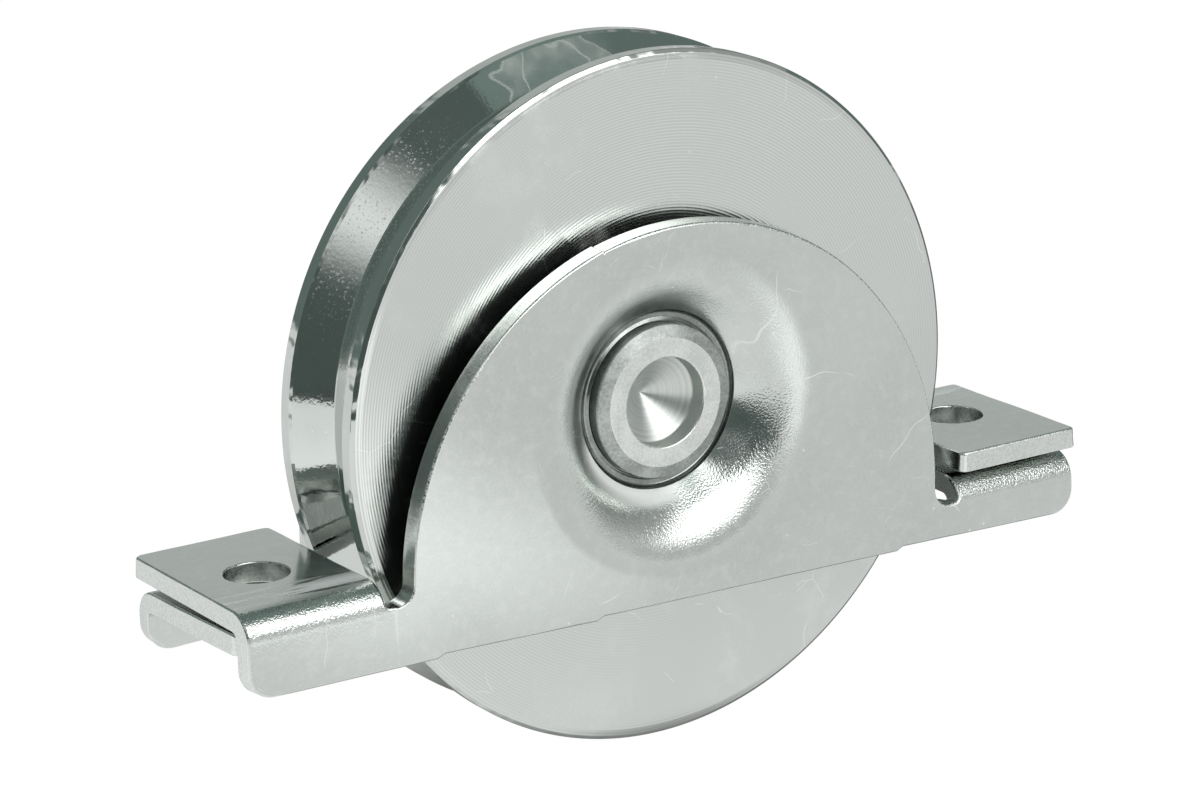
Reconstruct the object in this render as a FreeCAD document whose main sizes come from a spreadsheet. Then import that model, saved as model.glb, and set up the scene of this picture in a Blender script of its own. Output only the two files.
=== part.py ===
"""Grooved gate wheel on a ball bearing, riveted between two stamped sheet-steel brackets.

Millimetres. Origin at the wheel's centre, +Y along the axle, +X along the bracket, +Z up.
"""
import FreeCAD
import Part
import math
import os

import Sketcher

# Driving dimensions, one per line: alias and value.
DRIVING_SIZES = {
    # wheel
    "wheel_diameter": 100.0,
    "groove_opening": 14.0,
    "groove_depth": 4.5,
    "groove_floor": 5.0,
    "groove_lip": 0.35,
    "rim_chamfer_width": 0.5,
    "rim_chamfer_drop": 0.6,
    "rim_bevel_width": 0.3,
    "rim_bevel_drop": 1.0,
    "bore_shoulder": 2.0,
    "bore_lip": 1.2,
    "bore_chamfer": 0.5,
    # ball bearing
    "bearing_bore": 20.0,
    "bearing_outside": 47.0,
    "bearing_width": 14.0,
    "bearing_chamfer": 0.8,
    "ball_diameter": 7.938,
    "ball_number": 8.0,
    "race_depth": 1.0,
    "race_relief": 0.16,
    "race_clearance": 0.05,
    "shield_thickness": 0.5,
    "shield_inset": 0.4,
    "shield_grip": 0.8,
    "shield_lip": 0.8,
    "shield_gap": 0.3,
    "cage_sheet": 0.8,
    "cage_band": 2.6,
    "pocket_clearance": 0.15,
    "rivet_diameter": 1.2,
    "rivet_head_diameter": 2.0,
    "rivet_head_height": 0.5,
    "press_clearance": 0.01,
    # spring ring that keeps the bearing in the wheel
    "spring_ring_thickness": 1.75,
    "spring_ring_band": 2.6,
    "spring_ring_seat": 1.25,
    "spring_ring_clearance": 0.05,
    "spring_ring_gap": 7.0,
    "spring_ring_lug": 2.2,
    "spring_ring_eye": 2.0,
    # axle pin
    "pin_head_diameter": 22.4,
    "pin_head_height": 2.2,
    "pin_face_diameter": 19.0,
    "pin_face_fall": 0.5,
    "pin_recess_diameter": 13.0,
    "pin_recess_depth": 3.0,
    "pin_recess_point": 2.4,
    "pin_hole_clearance": 0.05,
    # stamped bracket
    "sheet": 3.0,
    "wheel_gap": 3.0,
    "cheek_centre_drop": 18.0,
    "notch_width": 4.1,
    "notch_rise": 0.9,
    "notch_round": 2.5,
    "ear_tuck": 1.2,
    "ear_length": 21.7,
    "ear_drop": 15.8,
    "ear_gap": 1.2,
    "low_ear_tilt": 1.8,
    "ear_overhang": 0.8,
    "ear_end_clearance": 0.5,
    "ear_corner": 0.9,
    "ear_hole_inset": 11.2,
    "bolt_hole_diameter": 9.0,
    "bend_inner_radius": 1.2,
    "web_left_drop": 27.8,
    "web_right_drop": 29.2,
    "web_corner": 3.8,
    "shear_step": 0.5,
    "first_step_place": -41.0,
    "second_step_place": -15.0,
    "third_step_place": 37.5,
    # pressed dish round the axle
    "dish_lip_radius": 2.0,
    "dish_foot_radius": 2.5,
    "dish_slope": 50.0,
    "dish_floor_diameter": 26.0,
    "seat_diameter": 25.2,
    "seat_coining": 0.5,
}

SHEET_NAME = "Sizes"


class Size:
    """A length that carries both its value and the sheet expression that it comes from."""

    def __init__(self, text, value):
        self.text = text
        self.value = value

    def joined(self, other, sign, value):
        """The two expressions with a sign between them."""
        return Size("(%s %s %s)" % (self.text, sign, as_size(other).text), value)

    def __add__(self, other):
        return self.joined(other, "+", self.value + as_size(other).value)

    def __sub__(self, other):
        return self.joined(other, "-", self.value - as_size(other).value)

    def __mul__(self, other):
        return self.joined(other, "*", self.value * as_size(other).value)

    def __truediv__(self, other):
        return self.joined(other, "/", self.value / as_size(other).value)

    def __neg__(self):
        return Size("(0 - %s)" % self.text, -self.value)


def as_size(value):
    """A Size as it is, or a plain number as a Size."""
    if isinstance(value, Size):
        return value
    return Size(repr(float(value)), float(value))


def root(size):
    """Square root of a size."""
    return Size("sqrt(%s)" % size.text, math.sqrt(size.value))


def sine(degrees):
    """Sine of an angle in degrees."""
    degrees = as_size(degrees)
    return Size("sin(%s)" % degrees.text, math.sin(math.radians(degrees.value)))


def cosine(degrees):
    """Cosine of an angle in degrees."""
    degrees = as_size(degrees)
    return Size("cos(%s)" % degrees.text, math.cos(math.radians(degrees.value)))


def fill_sheet(doc):
    """Write the driving dimensions to the sheet and return them as sizes by name."""
    sheet = doc.addObject("Spreadsheet::Sheet", SHEET_NAME)
    sizes = {}
    for row, (alias, value) in enumerate(DRIVING_SIZES.items(), start=1):
        sheet.set("A%d" % row, alias)
        sheet.set("B%d" % row, str(value))
        sheet.setAlias("B%d" % row, alias)
        sizes[alias] = Size("%s.%s" % (SHEET_NAME, alias), value)
    doc.recompute()
    return sizes


def new_body(doc, label):
    """An empty body with its own label."""
    body = doc.addObject("PartDesign::Body", label)
    body.Label = label
    return body


def origin_feature(body, role):
    """One of the body's own origin planes or axes."""
    return next(feature for feature in body.Origin.OriginFeatures if feature.Role == role)


def new_sketch(body, name, role, offset=None):
    """A sketch on one of the body's origin planes, moved along the plane's normal by offset."""
    sketch = body.newObject("Sketcher::SketchObject", name)
    sketch.AttachmentSupport = [(origin_feature(body, role), "")]
    sketch.MapMode = "FlatFace"
    if offset is not None:
        sketch.setExpression("AttachmentOffset.Base.z", offset.text)
    return sketch


def pin_point(sketch, edge, end, across, up):
    """Hold one end of an edge at a place given by two sizes."""
    for kind, size in (("DistanceX", across), ("DistanceY", up)):
        index = sketch.addConstraint(Sketcher.Constraint(kind, -1, 1, edge, end, size.value))
        sketch.setExpression("Constraints[%d]" % index, size.text)


def arc_between(start, end, radius, turn):
    """Arc from start to end, turning left (+1) or right (-1), and less than half a turn."""
    middle = (start + end) * 0.5
    run = end - start
    rise = math.sqrt(max(radius * radius - run.Length * run.Length / 4, 0.0))
    centre = middle + FreeCAD.Vector(-run.y, run.x, 0).normalize() * rise * turn
    first, last = (start, end) if turn > 0 else (end, start)
    angles = [math.atan2(point.y - centre.y, point.x - centre.x) for point in (first, last)]
    return Part.ArcOfCircle(Part.Circle(centre, FreeCAD.Vector(0, 0, 1), radius), *angles)


def draw_outline(sketch, corners):
    """Draw a closed outline.

    A corner is (across, up), or (across, up, radius, turn) where an arc leads from it to the next corner.
    """
    corners = [tuple(as_size(value) for value in corner[:3]) + corner[3:] for corner in corners]
    points = [FreeCAD.Vector(corner[0].value, corner[1].value, 0) for corner in corners]
    ends = []
    first_edge = sketch.GeometryCount
    for place, corner in enumerate(corners):
        start = points[place]
        end = points[(place + 1) % len(points)]
        if len(corner) == 2:
            sketch.addGeometry(Part.LineSegment(start, end))
            ends.append((1, 2))
        else:
            sketch.addGeometry(arc_between(start, end, corner[2].value, corner[3]))
            ends.append((1, 2) if corner[3] > 0 else (2, 1))
    for place in range(len(corners)):
        after = (place + 1) % len(corners)
        sketch.addConstraint(Sketcher.Constraint(
            "Coincident", first_edge + place, ends[place][1], first_edge + after, ends[after][0]))
    for place, corner in enumerate(corners):
        pin_point(sketch, first_edge + place, ends[place][0], corner[0], corner[1])
        if len(corner) == 4:
            index = sketch.addConstraint(Sketcher.Constraint("Radius", first_edge + place, corner[2].value))
            sketch.setExpression("Constraints[%d]" % index, corner[2].text)


def draw_circle(sketch, across, up, radius):
    """Draw a circle held by its centre and radius."""
    across, up, radius = as_size(across), as_size(up), as_size(radius)
    centre = FreeCAD.Vector(across.value, up.value, 0)
    edge = sketch.addGeometry(Part.Circle(centre, FreeCAD.Vector(0, 0, 1), radius.value))
    pin_point(sketch, edge, 3, across, up)
    index = sketch.addConstraint(Sketcher.Constraint("Radius", edge, radius.value))
    sketch.setExpression("Constraints[%d]" % index, radius.text)


def pad(body, sketch, name, length, backwards=False):
    """Thicken a sketch along its plane's normal, or against it."""
    feature = body.newObject("PartDesign::Pad", name)
    feature.Profile = sketch
    feature.Reversed = backwards
    feature.setExpression("Length", length.text)
    return feature


def pocket_through(body, sketch, name, both_ways=False):
    """Cut a sketch through everything on one side of its plane, or on both."""
    feature = body.newObject("PartDesign::Pocket", name)
    feature.Profile = sketch
    feature.Type = "ThroughAll"
    feature.Midplane = both_ways
    return feature


def turned(body, name, section, cut=False):
    """Turn a closed section (radius, place along the axle) about the axle, as metal or as a cut."""
    sketch = new_sketch(body, name + "_section", "XY_Plane")
    draw_outline(sketch, section)
    feature = body.newObject("PartDesign::Groove" if cut else "PartDesign::Revolution", name)
    feature.Profile = sketch
    feature.ReferenceAxis = (sketch, ["V_Axis"])
    feature.Angle = 360.0
    return feature


def turned_part(doc, label, section):
    """A sub-part made by one turned section."""
    body = new_body(doc, label)
    turned(body, label + "_turning", section)
    return body


def face_place(s):
    """Distance from the wheel's middle plane to its faces: half the bearing, the spring ring and a lip."""
    return s["bearing_width"] / 2 + s["spring_ring_thickness"] + s["spring_ring_clearance"] + s["bore_lip"]


def wheel(doc, s):
    """The wheel: grooved rim with broken edges, bore with a rear shoulder and a front spring-ring groove."""
    rim = s["wheel_diameter"] / 2
    face = face_place(s)
    floor = rim - s["groove_depth"]
    mouth = s["groove_opening"] / 2
    chamfer_top = face - s["rim_bevel_width"] - s["rim_chamfer_width"]
    chamfer_foot = face - s["rim_bevel_width"]
    chamfer_radius = rim - s["rim_chamfer_drop"]
    face_radius = chamfer_radius - s["rim_bevel_drop"]
    bore = s["bearing_outside"] / 2 + s["press_clearance"]
    seat = s["bearing_width"] / 2
    ring_groove = s["bearing_outside"] / 2 + s["spring_ring_seat"]
    ring_foot = face - s["bore_lip"]
    shoulder = s["bearing_outside"] / 2 - s["bore_shoulder"]
    section = [
        (bore + s["bore_chamfer"], -face),
        (face_radius, -face),
        (chamfer_radius, -chamfer_foot),
        (rim, -chamfer_top),
        (rim, -mouth - s["groove_lip"]),
        (rim - s["groove_lip"], -mouth),
        (floor, -s["groove_floor"] / 2),
        (floor, s["groove_floor"] / 2),
        (rim - s["groove_lip"], mouth),
        (rim, mouth + s["groove_lip"]),
        (rim, chamfer_top),
        (chamfer_radius, chamfer_foot),
        (face_radius, face),
        (shoulder + s["bore_chamfer"], face),
        (shoulder, face - s["bore_chamfer"]),
        (shoulder, seat),
        (bore, seat),
        (bore, -seat),
        (ring_groove, -seat),
        (ring_groove, -ring_foot),
        (bore, -ring_foot),
        (bore, s["bore_chamfer"] - face),
    ]
    return turned_part(doc, "wheel", section)


def race_places(s):
    """Radii shared by the rings, balls, cage and shields."""
    pitch = (s["bearing_bore"] + s["bearing_outside"]) / 4
    ball = s["ball_diameter"] / 2
    groove = ball + s["race_relief"]
    return {
        "pitch": pitch,
        "ball": ball,
        "groove": groove,
        "inner_shoulder": pitch - ball + s["race_depth"],
        "outer_shoulder": pitch + ball - s["race_depth"],
        "inner_centre": pitch - ball - s["race_clearance"] + groove,
        "outer_centre": pitch + ball + s["race_clearance"] - groove,
    }


def bearing_inner_ring(doc, s, race):
    """Inner ring with its ball groove, clamped on the pin."""
    bore = s["bearing_bore"] / 2
    half = s["bearing_width"] / 2
    chamfer = s["bearing_chamfer"]
    shoulder = race["inner_shoulder"]
    depth = race["inner_centre"] - shoulder
    mouth = root(race["groove"] * race["groove"] - depth * depth)
    section = [
        (bore + chamfer, -half),
        (shoulder, -half),
        (shoulder, -mouth, race["groove"], -1),
        (shoulder, mouth),
        (shoulder, half),
        (bore + chamfer, half),
        (bore, half - chamfer),
        (bore, chamfer - half),
    ]
    return turned_part(doc, "bearing_inner_ring", section)


def bearing_outer_ring(doc, s, race):
    """Outer ring with its ball groove and a shield groove near each face."""
    outside = s["bearing_outside"] / 2
    half = s["bearing_width"] / 2
    chamfer = s["bearing_chamfer"]
    shoulder = race["outer_shoulder"]
    depth = shoulder - race["outer_centre"]
    mouth = root(race["groove"] * race["groove"] - depth * depth)
    shield_seat = shoulder + s["shield_grip"]
    shield_front = half - s["shield_inset"]
    shield_back = shield_front - s["shield_thickness"]
    section = [
        (shield_seat, -half),
        (outside - chamfer, -half),
        (outside, chamfer - half),
        (outside, half - chamfer),
        (outside - chamfer, half),
        (shield_seat, half),
        (shield_seat, shield_back),
        (shoulder, shield_back),
        (shoulder, mouth, race["groove"], -1),
        (shoulder, -mouth),
        (shoulder, -shield_back),
        (shield_seat, -shield_back),
    ]
    return turned_part(doc, "bearing_outer_ring", section)


def shield(doc, s, race, label, side):
    """Pressed shield in the outer ring, its lip turned in; side is +1 or -1 along Y."""
    half = s["bearing_width"] / 2
    front = half - s["shield_inset"]
    back = front - s["shield_thickness"]
    lip_end = back - s["shield_lip"]
    outside = race["outer_shoulder"] + s["shield_grip"] - s["press_clearance"]
    inside = race["inner_shoulder"] + s["shield_gap"]
    section = [
        (inside, lip_end * side),
        (inside + s["shield_thickness"], lip_end * side),
        (inside + s["shield_thickness"], back * side),
        (outside, back * side),
        (outside, front * side),
        (inside, front * side),
    ]
    return turned_part(doc, label, section)


def ball(doc, s, race, number):
    """One ball on the pitch circle."""
    body = doc.addObject("Part::Sphere", "ball_%d" % number)
    body.Label = "ball_%d" % number
    body.setExpression("Radius", race["ball"].text)
    turn = as_size(360.0) / s["ball_number"] * (number - 1)
    body.setExpression("Placement.Base.x", (race["pitch"] * cosine(turn)).text)
    body.setExpression("Placement.Base.z", (race["pitch"] * sine(turn)).text)
    return body


def patterned(body, feature, name, number):
    """Repeat a feature round the axle."""
    pattern = body.newObject("PartDesign::PolarPattern", name)
    pattern.Originals = [feature]
    pattern.Axis = (origin_feature(body, "Y_Axis"), [""])
    pattern.Angle = 360.0
    pattern.setExpression("Occurrences", number.text)
    body.Tip = pattern
    return pattern


def cage_half(doc, s, race, label):
    """One pressed half of the ribbon cage, in front of the balls: a flat band with a cup over each ball."""
    body = new_body(doc, label)
    inner = race["pitch"] - s["cage_band"] / 2
    outer = race["pitch"] + s["cage_band"] / 2
    room = race["ball"] + s["pocket_clearance"]
    crown = room + s["cage_sheet"]
    beyond = s["bearing_outside"]
    flat = s["cage_sheet"]
    turned(body, label + "_band", [(inner, 0), (outer, 0), (outer, flat), (inner, flat)])
    doc.recompute()
    cup = body.newObject("PartDesign::AdditiveSphere", label + "_cup")
    cup.setExpression("Radius", crown.text)
    cup.setExpression("Placement.Base.x", race["pitch"].text)
    doc.recompute()
    patterned(body, cup, label + "_cups", s["ball_number"])
    doc.recompute()
    turned(body, label + "_back", [(0, -beyond), (beyond, -beyond), (beyond, 0), (0, 0)], cut=True)
    turned(body, label + "_inside", [(0, 0), (inner, 0), (inner, beyond), (0, beyond)], cut=True)
    turned(body, label + "_outside", [(outer, 0), (beyond, 0), (beyond, beyond), (outer, beyond)], cut=True)
    doc.recompute()
    pocket = body.newObject("PartDesign::SubtractiveSphere", label + "_pocket")
    pocket.setExpression("Radius", room.text)
    pocket.setExpression("Placement.Base.x", race["pitch"].text)
    doc.recompute()
    patterned(body, pocket, label + "_pockets", s["ball_number"])
    doc.recompute()
    sketch = new_sketch(body, label + "_rivet_circle", "XZ_Plane")
    half_step = as_size(180.0) / s["ball_number"]
    hole = s["rivet_diameter"] / 2 + s["press_clearance"]
    draw_circle(sketch, race["pitch"] * cosine(half_step), race["pitch"] * sine(half_step), hole)
    rivet_hole = pocket_through(body, sketch, label + "_rivet_hole", both_ways=True)
    doc.recompute()
    patterned(body, rivet_hole, label + "_rivet_holes", s["ball_number"])
    return body


def cage_rivets(doc, s, race):
    """The cage's rivets, each a shank with a head on either face of the band."""
    parts = []
    shank = s["rivet_diameter"] / 2
    head = s["rivet_head_diameter"] / 2
    grip = s["cage_sheet"]
    reach = grip + s["rivet_head_height"]
    lengths = (
        ("shank", shank, -reach, reach),
        ("front_head", head, -reach, -grip),
        ("rear_head", head, grip, reach),
    )
    along_axle = FreeCAD.Rotation(FreeCAD.Vector(1, 0, 0), -90)
    for number in range(int(s["ball_number"].value)):
        turn = as_size(360.0) / s["ball_number"] * (number + 0.5)
        pieces = []
        for name, radius, low, high in lengths:
            piece = doc.addObject("Part::Cylinder", "rivet_%d_%s" % (number + 1, name))
            piece.Placement = FreeCAD.Placement(FreeCAD.Vector(), along_axle)
            piece.setExpression("Radius", radius.text)
            piece.setExpression("Height", (high - low).text)
            piece.setExpression("Placement.Base.x", (race["pitch"] * cosine(turn)).text)
            piece.setExpression("Placement.Base.y", low.text)
            piece.setExpression("Placement.Base.z", (race["pitch"] * sine(turn)).text)
            pieces.append(piece)
        rivet = doc.addObject("Part::MultiFuse", "rivet_%d" % (number + 1))
        rivet.Shapes = pieces
        parts.append(rivet)
    group = doc.addObject("Part::Compound", "cage_rivets")
    group.Label = "cage_rivets"
    group.Links = parts
    return group


def retaining_ring(doc, s):
    """Internal spring ring: a split band in the wheel's bore groove, with a pierced lug at each end."""
    body = new_body(doc, "retaining_ring")
    outside = s["bearing_outside"] / 2 + s["spring_ring_seat"] - s["spring_ring_clearance"]
    inside = outside - s["spring_ring_band"]
    near = s["bearing_width"] / 2
    band_sketch = new_sketch(body, "band_outline", "XZ_Plane", near)
    draw_circle(band_sketch, 0, 0, outside)
    draw_circle(band_sketch, 0, 0, inside)
    pad(body, band_sketch, "band", s["spring_ring_thickness"])
    lug_across = s["spring_ring_gap"] / 2 + s["spring_ring_lug"]
    lug_up = root(inside * inside - lug_across * lug_across)
    for name, side in (("left_lug", -1), ("right_lug", 1)):
        lug_sketch = new_sketch(body, name + "_outline", "XZ_Plane", near)
        draw_circle(lug_sketch, lug_across * side, lug_up, s["spring_ring_lug"])
        pad(body, lug_sketch, name, s["spring_ring_thickness"])
    doc.recompute()
    gap_sketch = new_sketch(body, "gap_outline", "XZ_Plane")
    half_gap = s["spring_ring_gap"] / 2
    beyond = s["bearing_outside"]
    draw_outline(gap_sketch, [(-half_gap, 0), (half_gap, 0), (half_gap, beyond), (-half_gap, beyond)])
    pocket_through(body, gap_sketch, "gap", both_ways=True)
    for name, side in (("left_eye", -1), ("right_eye", 1)):
        eye_sketch = new_sketch(body, name + "_outline", "XZ_Plane")
        draw_circle(eye_sketch, lug_across * side, lug_up, s["spring_ring_eye"] / 2)
        pocket_through(body, eye_sketch, name, both_ways=True)
    return body


def axle_pin(doc, s):
    """Pin through the bearing, riveted over both cheeks, with a drilled recess in each end."""
    shank = s["bearing_bore"] / 2 - s["press_clearance"]
    seat = seat_place(s)
    end = seat + s["pin_head_height"]
    edge = end - s["pin_face_fall"]
    head = s["pin_head_diameter"] / 2
    face = s["pin_face_diameter"] / 2
    recess = s["pin_recess_diameter"] / 2
    wall_foot = end - s["pin_recess_depth"]
    point = wall_foot - s["pin_recess_point"]
    section = [
        (0, -point),
        (recess, -wall_foot),
        (recess, -end),
        (face, -end),
        (head, -edge),
        (head, -seat),
        (shank, -seat),
        (shank, seat),
        (head, seat),
        (head, edge),
        (face, end),
        (recess, end),
        (recess, wall_foot),
        (0, point),
    ]
    return turned_part(doc, "axle_pin", section)


def cheek_place(s):
    """Distance from the wheel's middle plane to a cheek's inner face."""
    return face_place(s) + s["wheel_gap"]


def seat_place(s):
    """Distance from the wheel's middle plane to the coined seat under a pin head."""
    return s["bearing_width"] / 2 + s["sheet"] - s["seat_coining"]


def dish_section(s):
    """Section of the pressed dish from the pin hole to the flat cheek, and the radius where they meet."""
    sheet = s["sheet"]
    inner_face = -cheek_place(s)
    outer_face = inner_face - sheet
    floor_inside = -s["bearing_width"] / 2
    floor_outside = floor_inside - sheet
    lip = s["dish_lip_radius"] + sheet
    foot = s["dish_foot_radius"]
    slope_sine = sine(s["dish_slope"])
    slope_cosine = cosine(s["dish_slope"])
    floor_edge = s["dish_floor_diameter"] / 2
    depth = floor_outside - outer_face
    wall = (depth - (lip + foot) * (as_size(1) - slope_cosine)) / slope_sine
    mouth = floor_edge + (lip + foot) * slope_sine + wall * slope_cosine
    lip_centre = outer_face + lip
    inner_lip = lip - sheet
    foot_centre = floor_outside - foot
    outer_foot = foot + sheet
    hole = s["bearing_bore"] / 2 + s["pin_hole_clearance"]
    seat = -seat_place(s)
    section = [
        (hole, seat),
        (s["seat_diameter"] / 2, seat),
        (s["seat_diameter"] / 2, floor_outside),
        (floor_edge, floor_outside, foot, -1),
        (floor_edge + foot * slope_sine, foot_centre + foot * slope_cosine),
        (mouth - lip * slope_sine, lip_centre - lip * slope_cosine, lip, 1),
        (mouth, outer_face),
        (mouth, inner_face, inner_lip, -1),
        (mouth - inner_lip * slope_sine, lip_centre - inner_lip * slope_cosine),
        (floor_edge + outer_foot * slope_sine, foot_centre + outer_foot * slope_cosine, outer_foot, 1),
        (floor_edge, floor_inside),
        (hole, floor_inside),
    ]
    return section, mouth


def cheek_outline(s):
    """Outline of the flat cheek and web in the XZ plane, up to where the ears' bends begin."""
    ear_inner = s["wheel_diameter"] / 2 - s["ear_tuck"]
    half_length = ear_inner + s["ear_length"]
    arc = ear_inner - s["notch_width"]
    arc_centre = -s["cheek_centre_drop"]
    bend = s["bend_inner_radius"] + s["sheet"]
    left_top = -s["ear_drop"]
    right_top = left_top - s["sheet"] - s["ear_gap"]
    notch = s["notch_round"]
    left_notch = left_top - bend + s["notch_rise"]
    right_notch = right_top - bend + s["notch_rise"]
    left_rise = left_notch + notch - arc_centre
    left_side = root(arc * arc - left_rise * left_rise)
    corner = s["web_corner"]
    tilt = (s["web_right_drop"] - s["web_left_drop"]) / (half_length * 2)

    def web_foot(across):
        """Height of the web's sheared lower edge at a place along the bracket."""
        return -s["web_left_drop"] - tilt * (across + half_length)

    outline = [
        (-half_length, left_top - bend),
        (-half_length, web_foot(-half_length) + corner, corner, 1),
        (corner - half_length, web_foot(-half_length)),
    ]
    for place in ("first_step_place", "second_step_place", "third_step_place"):
        outline.append((s[place], web_foot(s[place])))
        outline.append((s[place] + s["shear_step"] * 2, web_foot(s[place]) + s["shear_step"]))
    outline += [
        (half_length - corner, web_foot(half_length), corner, 1),
        (half_length, web_foot(half_length) + corner),
        (half_length, right_top - bend),
        (ear_inner, right_top - bend),
        (ear_inner, right_notch),
        (arc + notch, right_notch, notch, -1),
        (arc, right_notch + notch),
        (arc, arc_centre, arc, 1),
        (0, arc_centre + arc, arc, 1),
        (-left_side, left_notch + notch, notch, -1),
        (-left_side - notch, left_notch),
        (-ear_inner, left_notch),
        (-ear_inner, left_top - bend),
    ]
    return outline


def fold_section(s, top, free_edge, tilt):
    """Section of an ear in the YZ plane: the bend at the web's top, then the flat ear rising by its tilt."""
    sheet = s["sheet"]
    inner_face = -cheek_place(s)
    outer_face = inner_face - sheet
    inner_bend = s["bend_inner_radius"]
    outer_bend = inner_bend + sheet
    centre_across = outer_face + outer_bend
    centre_up = top - outer_bend
    slope = sine(tilt) / cosine(tilt)
    under_start = centre_across - inner_bend * sine(tilt)
    top_start = centre_across - outer_bend * sine(tilt)
    under = centre_up + inner_bend * cosine(tilt)
    over = centre_up + outer_bend * cosine(tilt)
    return [
        (outer_face, centre_up),
        (inner_face, centre_up, inner_bend, -1),
        (under_start, under),
        (free_edge, under + (free_edge - under_start) * slope),
        (free_edge, over + (free_edge - top_start) * slope),
        (top_start, over, outer_bend, 1),
    ]


def round_ear_corners(body, s, free_edges):
    """Round the free corners of both ears."""
    base = body.Tip
    names = []
    for number, edge in enumerate(base.Shape.Edges, start=1):
        box = edge.BoundBox
        upright = box.XLength < 1e-6 and box.YLength < 1e-6 and box.ZLength > 0
        if upright and any(abs(box.YMin - free_edge.value) < 1e-6 for free_edge in free_edges):
            names.append("Edge%d" % number)
    fillet = body.newObject("PartDesign::Fillet", body.Label + "_ear_corners")
    fillet.Base = (base, names)
    fillet.setExpression("Radius", s["ear_corner"].text)
    return fillet


def bracket(doc, s, label):
    """Stamped bracket: dished half-moon cheek, a high ear folded in at the left, a low one at the right."""
    body = new_body(doc, label)
    section, mouth = dish_section(s)
    cheek_sketch = new_sketch(body, label + "_cheek_outline", "XZ_Plane", cheek_place(s))
    draw_outline(cheek_sketch, cheek_outline(s))
    draw_circle(cheek_sketch, 0, 0, mouth)
    pad(body, cheek_sketch, label + "_cheek", s["sheet"])
    turned(body, label + "_dish", section)
    ear_inner = s["wheel_diameter"] / 2 - s["ear_tuck"]
    high_top = -s["ear_drop"]
    low_top = high_top - s["sheet"] - s["ear_gap"]
    high_edge = cheek_place(s) + s["sheet"] + s["ear_overhang"]
    low_edge = cheek_place(s) - s["ear_end_clearance"]
    ears = (
        ("high_ear", high_top, high_edge, as_size(0), -ear_inner - s["ear_length"]),
        ("low_ear", low_top, low_edge, s["low_ear_tilt"], ear_inner),
    )
    for name, top, free_edge, tilt, start in ears:
        ear_sketch = new_sketch(body, "%s_%s_section" % (label, name), "YZ_Plane", start)
        draw_outline(ear_sketch, fold_section(s, top, free_edge, tilt))
        pad(body, ear_sketch, "%s_%s" % (label, name), s["ear_length"])
    doc.recompute()
    round_ear_corners(body, s, (high_edge, low_edge))
    hole_sketch = new_sketch(body, label + "_bolt_circles", "XY_Plane")
    for side in (-1, 1):
        draw_circle(hole_sketch, (ear_inner + s["ear_hole_inset"]) * side, 0, s["bolt_hole_diameter"] / 2)
    pocket_through(body, hole_sketch, label + "_bolt_holes")
    return body


def half_turn():
    """Half a turn about the vertical, which makes a front piece into its rear twin."""
    return FreeCAD.Placement(FreeCAD.Vector(), FreeCAD.Rotation(FreeCAD.Vector(0, 0, 1), 180))


def build(doc):
    """Make every sub-part and return them in a list."""
    s = fill_sheet(doc)
    race = race_places(s)
    front_bracket = bracket(doc, s, "front_bracket")
    rear_bracket = bracket(doc, s, "rear_bracket")
    rear_bracket.Placement = half_turn()
    cage_rear_half = cage_half(doc, s, race, "cage_rear_half")
    cage_front_half = cage_half(doc, s, race, "cage_front_half")
    cage_front_half.Placement = half_turn()
    parts = [
        front_bracket,
        rear_bracket,
        axle_pin(doc, s),
        wheel(doc, s),
        retaining_ring(doc, s),
        bearing_outer_ring(doc, s, race),
        bearing_inner_ring(doc, s, race),
        shield(doc, s, race, "front_shield", -1),
        shield(doc, s, race, "rear_shield", 1),
        cage_front_half,
        cage_rear_half,
        cage_rivets(doc, s, race),
    ]
    parts += [ball(doc, s, race, number) for number in range(1, int(s["ball_number"].value) + 1)]
    doc.recompute()
    return parts


def check(doc, parts):
    """Stop if any object failed or any sub-part isn't a sound solid."""
    for item in doc.Objects:
        if "Invalid" in item.State or "Error" in item.State:
            raise RuntimeError("%s failed: %s" % (item.Name, item.State))
    for part in parts:
        if part.Shape.isNull() or not part.Shape.isValid() or part.Shape.Volume <= 0:
            raise RuntimeError("%s has no sound solid" % part.Label)


def main():
    doc = FreeCAD.newDocument("gate_wheel")
    parts = build(doc)
    check(doc, parts)
    os.makedirs("parts", exist_ok=True)
    for part in parts:
        part.Shape.exportStep("parts/%s.step" % part.Label)
        print("%-20s %2d solids %12.2f mm3" % (part.Label, len(part.Shape.Solids), part.Shape.Volume))


main()
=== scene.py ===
"""Looks of the gate wheel: zinc-plated wheel, stamped brackets and riveted pin on a white studio floor.

The pieces are modelled in millimetres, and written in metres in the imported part's frame as their last step.
Finishes, studio and camera are in metres.
"""
import math

import bmesh
import bpy
import numpy as np
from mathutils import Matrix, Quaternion, Vector


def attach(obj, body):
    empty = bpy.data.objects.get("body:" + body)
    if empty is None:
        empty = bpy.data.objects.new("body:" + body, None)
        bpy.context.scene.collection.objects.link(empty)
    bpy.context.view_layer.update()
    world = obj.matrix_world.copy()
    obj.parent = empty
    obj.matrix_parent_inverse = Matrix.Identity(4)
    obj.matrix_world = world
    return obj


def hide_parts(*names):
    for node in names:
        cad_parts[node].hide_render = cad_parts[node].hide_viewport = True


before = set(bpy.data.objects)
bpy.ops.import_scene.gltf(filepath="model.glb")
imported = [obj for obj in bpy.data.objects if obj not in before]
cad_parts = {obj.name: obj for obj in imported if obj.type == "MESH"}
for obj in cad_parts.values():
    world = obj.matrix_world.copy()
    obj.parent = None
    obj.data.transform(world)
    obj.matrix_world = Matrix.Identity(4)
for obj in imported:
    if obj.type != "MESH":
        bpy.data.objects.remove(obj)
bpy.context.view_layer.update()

MM = 0.001

# Small margins: near a line, a hair past it, and as good as none
NEAR = 0.05
HAIR = 0.02
SAME = 1e-6

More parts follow.
